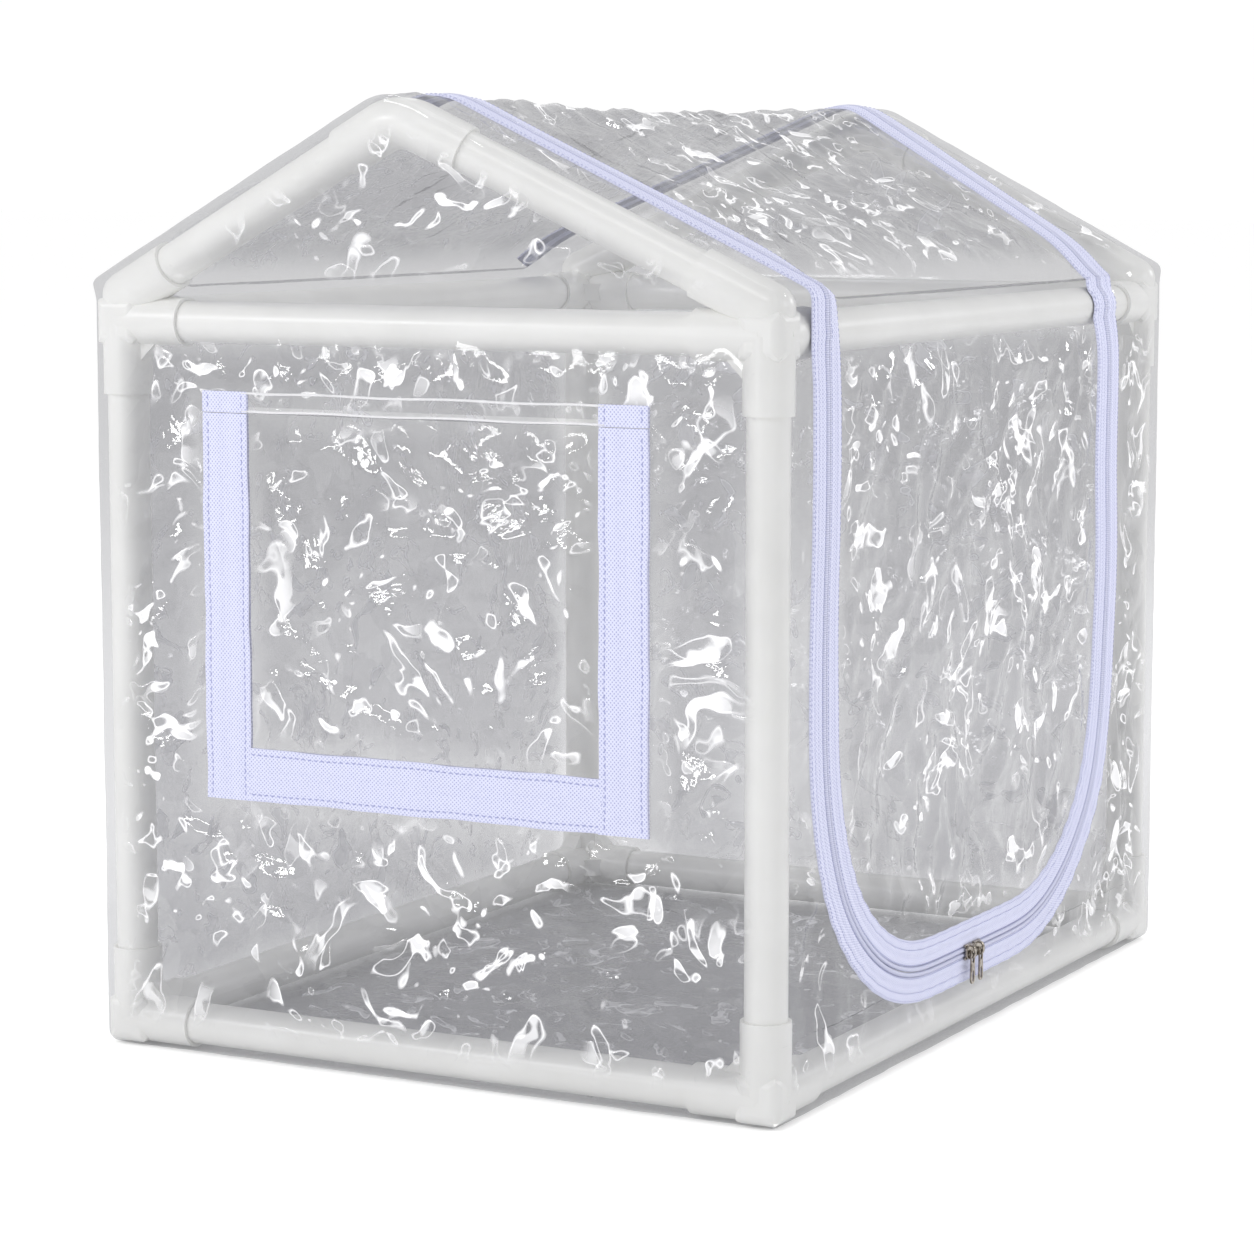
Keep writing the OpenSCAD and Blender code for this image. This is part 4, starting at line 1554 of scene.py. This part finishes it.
    def build_flap(self, cover: Cover) -> None:
        """Builds the flap's film."""
        low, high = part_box("flap_film")
        x0, x1 = low[0] - 8 * MM, high[0] + 8 * MM
        z0, z1 = low[2] - 8 * MM, high[2] + 0.3 * MM
        obj = grid("film_flap", cover.count(x1 - x0), cover.count(z1 - z0))
        at = grid_points(obj)
        x = x0 + (x1 - x0) * at[:, 0]
        z = z0 + (z1 - z0) * at[:, 1]
        points = np.stack([x, np.full(len(x), -0.31), z], 1)
        edge = np.minimum(np.minimum(x - low[0], high[0] - x), np.minimum(z - low[2], high[2] - z))
        free = smooth(0.0, 22 * MM, edge)
        crease = self.skin.cover.creases(points)
        points[:, 1] = (low[1] + high[1]) / 2 - np.clip(crease * free, -2.6 * MM, 3.2 * MM)
        set_points(obj, points)
        mark_slack(obj, free)
        cover.finish(
            obj, ["flap_film"], (x1 - x0, z1 - z0), body="window_flap", held="hung", rests=["header_film"]
        )

    def build_header(self) -> None:
        """Builds the flap's sewn header: a flat tube of film with a weld line along each edge."""
        low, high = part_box("flap_header")
        tall = high[2] - low[2]
        section = [
            (0.0, 0.5), (0.25, 1.0), (0.9, 1.25), (1.5, 1.0), (2.2, 0.8), (4.0, 0.9), (6.0, 1.0), (8.2, 0.9),
            (10.2, 0.8), (10.9, 1.0), (11.5, 1.25), (12.2, 1.0), (12.45, 0.5),
        ]
        span = [(low[2] + a * MM * tall / 12.5, h * MM) for a, h in section]
        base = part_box("window_wall_film")[0][1]

        def place(along: Array, across: Array, height: Array) -> Array:
            slack = 0.35 * MM * np.sin(along * 70) * smooth(0.0, 0.02, np.minimum(along - low[0], high[0] - along))
            return np.stack([along, base - height * 1.5, across + slack], 1)

        along = np.linspace(low[0] - 4 * MM, high[0] + 4 * MM, 90)
        tube = Ribbon("header_film", along, span, lift=0.1 * MM).build(place)
        parts = [(tube, self.finishes.film)]
        for middle in (low[2] + 0.9 * MM, high[2] - 0.9 * MM):
            bead = [(middle + a * MM, h * MM) for a, h in ((-0.75, 1.0), (-0.4, 1.5), (0.0, 1.65), (0.4, 1.5), (0.75, 1.0))]
            parts.append((Ribbon("header_bead", along, bead, lift=0.7 * MM).build(place), self.finishes.weld))
        obj = merge_pieces(parts, "header_film")
        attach(obj, "hutch")
        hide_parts("flap_header")


@dataclass
class Sliders:
    """The two zip sliders and their hanging pulls."""

    finishes: Finishes

    def build(self) -> None:
        """Builds both sliders and both pulls."""
        for which in ("front", "rear"):
            self.build_slider(which)
            self.build_pull(which)

    def build_slider(self, which: str) -> None:
        """Builds one slider: a waisted plate, two cheeks and a bridge."""
        low, high = (np.array(v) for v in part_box(f"slider_{which}"))
        mid = (low + high) / 2
        plate_x = high[0] - 3.8 * MM - 0.6 * MM
        bpy.ops.mesh.primitive_cube_add(size=1, location=(plate_x, mid[1], mid[2]))
        body = take_new(f"slider_{which}_nickel")
        body.scale = (1.2 * MM, high[1] - low[1], high[2] - low[2])
        settle(body)
        select_only(body)
        bpy.ops.object.mode_set(mode="EDIT")
        bpy.ops.mesh.select_all(action="SELECT")
        bpy.ops.mesh.subdivide(number_cuts=5)
        bpy.ops.object.mode_set(mode="OBJECT")
        points = grid_points(body)
        local = (points - mid) / ((high - low) / 2)
        way = -1 if which == "front" else 1
        nose = 1 - 0.38 * smooth(0.1, 1.0, local[:, 1] * way)
        waist = 1 - 0.16 * np.exp(-((local[:, 1] + 0.15 * way) ** 2) / 0.06)
        points[:, 2] = mid[2] + (points[:, 2] - mid[2]) * nose * waist
        corner = np.abs(local[:, 1]) ** 4
        points[:, 2] = mid[2] + (points[:, 2] - mid[2]) * (1 - 0.22 * corner)
        set_points(body, points)
        parts = [body]
        for side in (-1, 1):
            bpy.ops.mesh.primitive_cube_add(
                size=1, location=(low[0] + 0.95 * MM, mid[1], mid[2] + side * ((high[2] - low[2]) / 2 - 1.0 * MM))
            )
            cheek = take_new(f"cheek_{side}")
            cheek.scale = (1.9 * MM, (high[1] - low[1]) * 0.86, 1.5 * MM)
            settle(cheek)
            parts.append(cheek)
        parts.append(self.bridge(high, mid))
        for part in parts:
            add_modifier(part, "BEVEL", width=0.35 * MM, segments=3, limit_method="ANGLE")
            apply_modifiers(part)
        obj = join(parts, f"slider_{which}_nickel")
        shade(obj, 45.0)
        dress(obj, self.finishes.nickel)
        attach(obj, f"{which}_slider")
        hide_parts(f"slider_{which}")
        log.info("slider %s", which)

    def bridge(self, high: Array, mid: Array) -> bpy.types.Object:
        """Builds the arch that holds a pull: a flat bar bent over it."""
        bpy.ops.mesh.primitive_plane_add(size=1, location=(0, 0, 0))
        bar = take_new("bridge")
        bar.scale = (2.2 * MM, 1.1 * MM, 1)
        settle(bar)
        outline = []
        for step in range(13):
            turn = math.pi * step / 12
            outline.append((high[0] - 3.9 * MM + 3.25 * MM * math.sin(turn) ** 0.6, mid[2] - 3.85 * MM * math.cos(turn)))
        rings = [np.array([x, z]) for x, z in outline]
        verts, faces = [], []
        for index, ring in enumerate(rings):
            before, after = rings[max(0, index - 1)], rings[min(len(rings) - 1, index + 1)]
            ahead = (after - before) / np.linalg.norm(after - before)
            aside = np.array([ahead[1], -ahead[0]])
            for wide, deep in ((-1, -1), (1, -1), (1, 1), (-1, 1)):
                at = ring + aside * deep * 0.55 * MM
                verts.append((at[0], mid[1] + wide * 1.15 * MM, at[1]))
            if index:
                base = index * 4
                faces += [(base - 4 + k, base - 4 + (k + 1) % 4, base + (k + 1) % 4, base + k) for k in range(4)]
        last = len(rings) * 4
        faces += [(3, 2, 1, 0), (last - 4, last - 3, last - 2, last - 1)]
        bpy.data.objects.remove(bar)
        mesh = bpy.data.meshes.new("bridge")
        mesh.from_pydata(verts, [], faces)
        obj = bpy.data.objects.new("bridge", mesh)
        bpy.context.scene.collection.objects.link(obj)
        outward(obj)
        return obj

    def build_pull(self, which: str) -> None:
        """Builds one pull: a flat tab with a slot at its bar and an oval window near its tip."""
        low, high = (np.array(v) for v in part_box(f"pull_{which}"))
        mid = (low + high) / 2
        thick = high[0] - low[0]

        def outline(points: Sequence[tuple[float, float]], name: str, deep: float) -> bpy.types.Object:
            mesh = bpy.data.meshes.new(name)
            count = len(points)
            verts = [(mid[0] + s * deep / 2, mid[1] + y, z) for s in (-1, 1) for y, z in points]
            faces = [tuple(range(count - 1, -1, -1)), tuple(range(count, 2 * count))]
            faces += [(i, (i + 1) % count, count + (i + 1) % count, count + i) for i in range(count)]
            mesh.from_pydata(verts, [], faces)
            obj = bpy.data.objects.new(name, mesh)
            bpy.context.scene.collection.objects.link(obj)
            outward(obj)
            return obj

        half = 2.9 * MM
        top, bottom = high[2], low[2]
        edge = [(-2.0 * MM, top), (2.0 * MM, top), (half, top - 1.2 * MM), (2.45 * MM, top - 8 * MM), (half, bottom + 7 * MM)]
        for step in range(9):
            turn = math.pi * step / 8
            edge.append((half * math.cos(turn), bottom + 3.0 * MM - 3.0 * MM * math.sin(turn)))
        edge += [(-half, bottom + 7 * MM), (-2.45 * MM, top - 8 * MM), (-half, top - 1.2 * MM)]
        tab = outline(edge, f"pull_{which}_nickel", thick * 0.85)

        def oval(z0: float, z1: float, half_w: float) -> list[tuple[float, float]]:
            out = []
            for step in range(20):
                turn = 2 * math.pi * step / 20
                shift = (z1 - z0) / 2 - half_w
                z = (z0 + z1) / 2 + half_w * math.sin(turn) + math.copysign(shift, math.sin(turn))
                out.append((half_w * math.cos(turn), z))
            return out

        for name, points in (
            ("slot", oval(top - 7.6 * MM, top - 1.3 * MM, 1.75 * MM)),
            ("window", oval(bottom + 1.5 * MM, bottom + 8.5 * MM, 1.5 * MM)),
        ):
            cutter = outline(points, name, thick * 3)
            add_modifier(tab, "BOOLEAN", object=cutter, operation="DIFFERENCE", solver="EXACT")
            apply_modifiers(tab)
            bpy.data.objects.remove(cutter)
        add_modifier(tab, "BEVEL", width=0.22 * MM, segments=2, limit_method="ANGLE")
        apply_modifiers(tab)
        outward(tab)
        shade(tab, 40.0)
        dress(tab, self.finishes.nickel)
        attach(tab, f"{which}_pull")
        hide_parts(f"pull_{which}")
        log.info("pull %s", which)


# ---- Studio ----


@dataclass
class Studio:
    """The pale floor, the soft lights and the camera."""

    azimuth: float = 28.05
    elevation: float = 7.19
    distance: float = 2.408
    lens: float = 106.2

    def build(self) -> None:
        """Builds the studio."""
        scene = bpy.context.scene
        scene.view_settings.view_transform = "Standard"
        scene.cycles.transparent_max_bounces = 24
        self.build_floor()
        self.build_world()
        self.build_lights()
        self.build_camera()

    def build_floor(self) -> None:
        """Builds the floor."""
        bpy.ops.mesh.primitive_plane_add(size=60, location=(0, 0, -0.0004))
        floor = take_new("studio_floor")
        settle(floor)
        mat = bpy.data.materials.new("studio_white")
        mat.use_nodes = True
        shader = mat.node_tree.nodes["Principled BSDF"]
        shader.inputs["Base Color"].default_value = linear("#f6f6f6")
        shader.inputs["Roughness"].default_value = 0.9
        shader.inputs["Specular IOR Level"].default_value = 0.1
        shader.inputs["Emission Color"].default_value = (1.0, 1.0, 1.0, 1.0)
        shader.inputs["Emission Strength"].default_value = 0.17
        dress(floor, mat)

    def build_world(self) -> None:
        """Builds the pale surroundings: pure white to the eye, a little dimmer as light."""
        world = bpy.data.worlds.new("studio_world")
        bpy.context.scene.world = world
        world.use_nodes = True
        tree = world.node_tree
        back = tree.nodes["Background"]
        back.inputs["Color"].default_value = (1.0, 1.0, 1.0, 1.0)
        path = add_node(tree, "LightPath")
        level = add_node(tree, "MapRange", {"Value": path.outputs["Is Camera Ray"], "To Min": 0.9, "To Max": 1.01})
        tree.links.new(level.outputs["Result"], back.inputs["Strength"])

    def build_lights(self) -> None:
        """Builds the softboxes."""
        middle = (0, 0, 0.3)
        self.softbox("key", (-1.5, -2.3, 1.5), middle, (0.6, 0.4), 19)
        self.softbox("key_low", (-0.9, -2.7, 0.6), middle, (0.8, 0.16), 8)
        self.softbox("high", (0.5, -2.2, 2.3), middle, (0.45, 0.25), 9)
        self.softbox("side", (1.7, 2.1, 1.2), middle, (0.35, 0.6), 13)
        self.softbox("flank", (2.7, 0.3, 1.2), middle, (0.24, 0.8), 10)
        self.softbox("top", (0.2, 0.2, 2.9), (0, 0, 0.2), (1.2, 0.9), 7)
        self.softbox("back", (-1.3, 1.9, 2.7), middle, (0.4, 0.2), 6)

    def softbox(self, name: str, place: tuple[float, float, float], aim: tuple[float, float, float], size: tuple[float, float], power: float) -> None:
        """Adds one rectangular light aimed at a point."""
        bpy.ops.object.light_add(type="AREA", location=place)
        lamp = bpy.context.active_object
        lamp.name = "light_" + name
        lamp.data.shape = "RECTANGLE"
        lamp.data.size, lamp.data.size_y = size
        lamp.data.energy = power
        lamp.visible_camera = False
        lamp.rotation_euler = (Vector(place) - Vector(aim)).to_track_quat("Z", "Y").to_euler()

    def build_camera(self) -> None:
        """Builds the camera."""
        a, e = math.radians(self.azimuth), math.radians(self.elevation)
        right = Vector((math.cos(a), math.sin(a), 0))
        back = Vector((math.sin(a) * math.cos(e), -math.cos(a) * math.cos(e), math.sin(e)))
        up = back.cross(right)
        aim = Vector((0, 0, 0.230)) - right * 0.0224 + up * 0.0083
        bpy.ops.object.camera_add(location=aim + back * self.distance)
        camera = bpy.context.active_object
        camera.rotation_euler = back.to_track_quat("Z", "Y").to_euler()
        camera.data.lens = self.lens
        camera.data.sensor_width = 36
        camera.data.clip_end = 60
        bpy.context.scene.camera = camera


def main() -> None:
    """Builds the hutch and its studio."""
    logging.basicConfig(level=logging.INFO)
    Studio().build()
    finishes = Finishes()
    Frame(finishes).build()
    shape = CoverShape()
    skin = Skin(shape, ZipRoute(shape))
    cover = Cover(skin, finishes)
    cover.build()
    closure = Zip(skin, finishes)
    closure.build_fixed()
    Door(cover, closure).build()
    WindowFlap(skin, finishes).build(cover)
    Sliders(finishes).build()


if __name__ == "__main__":
    main()
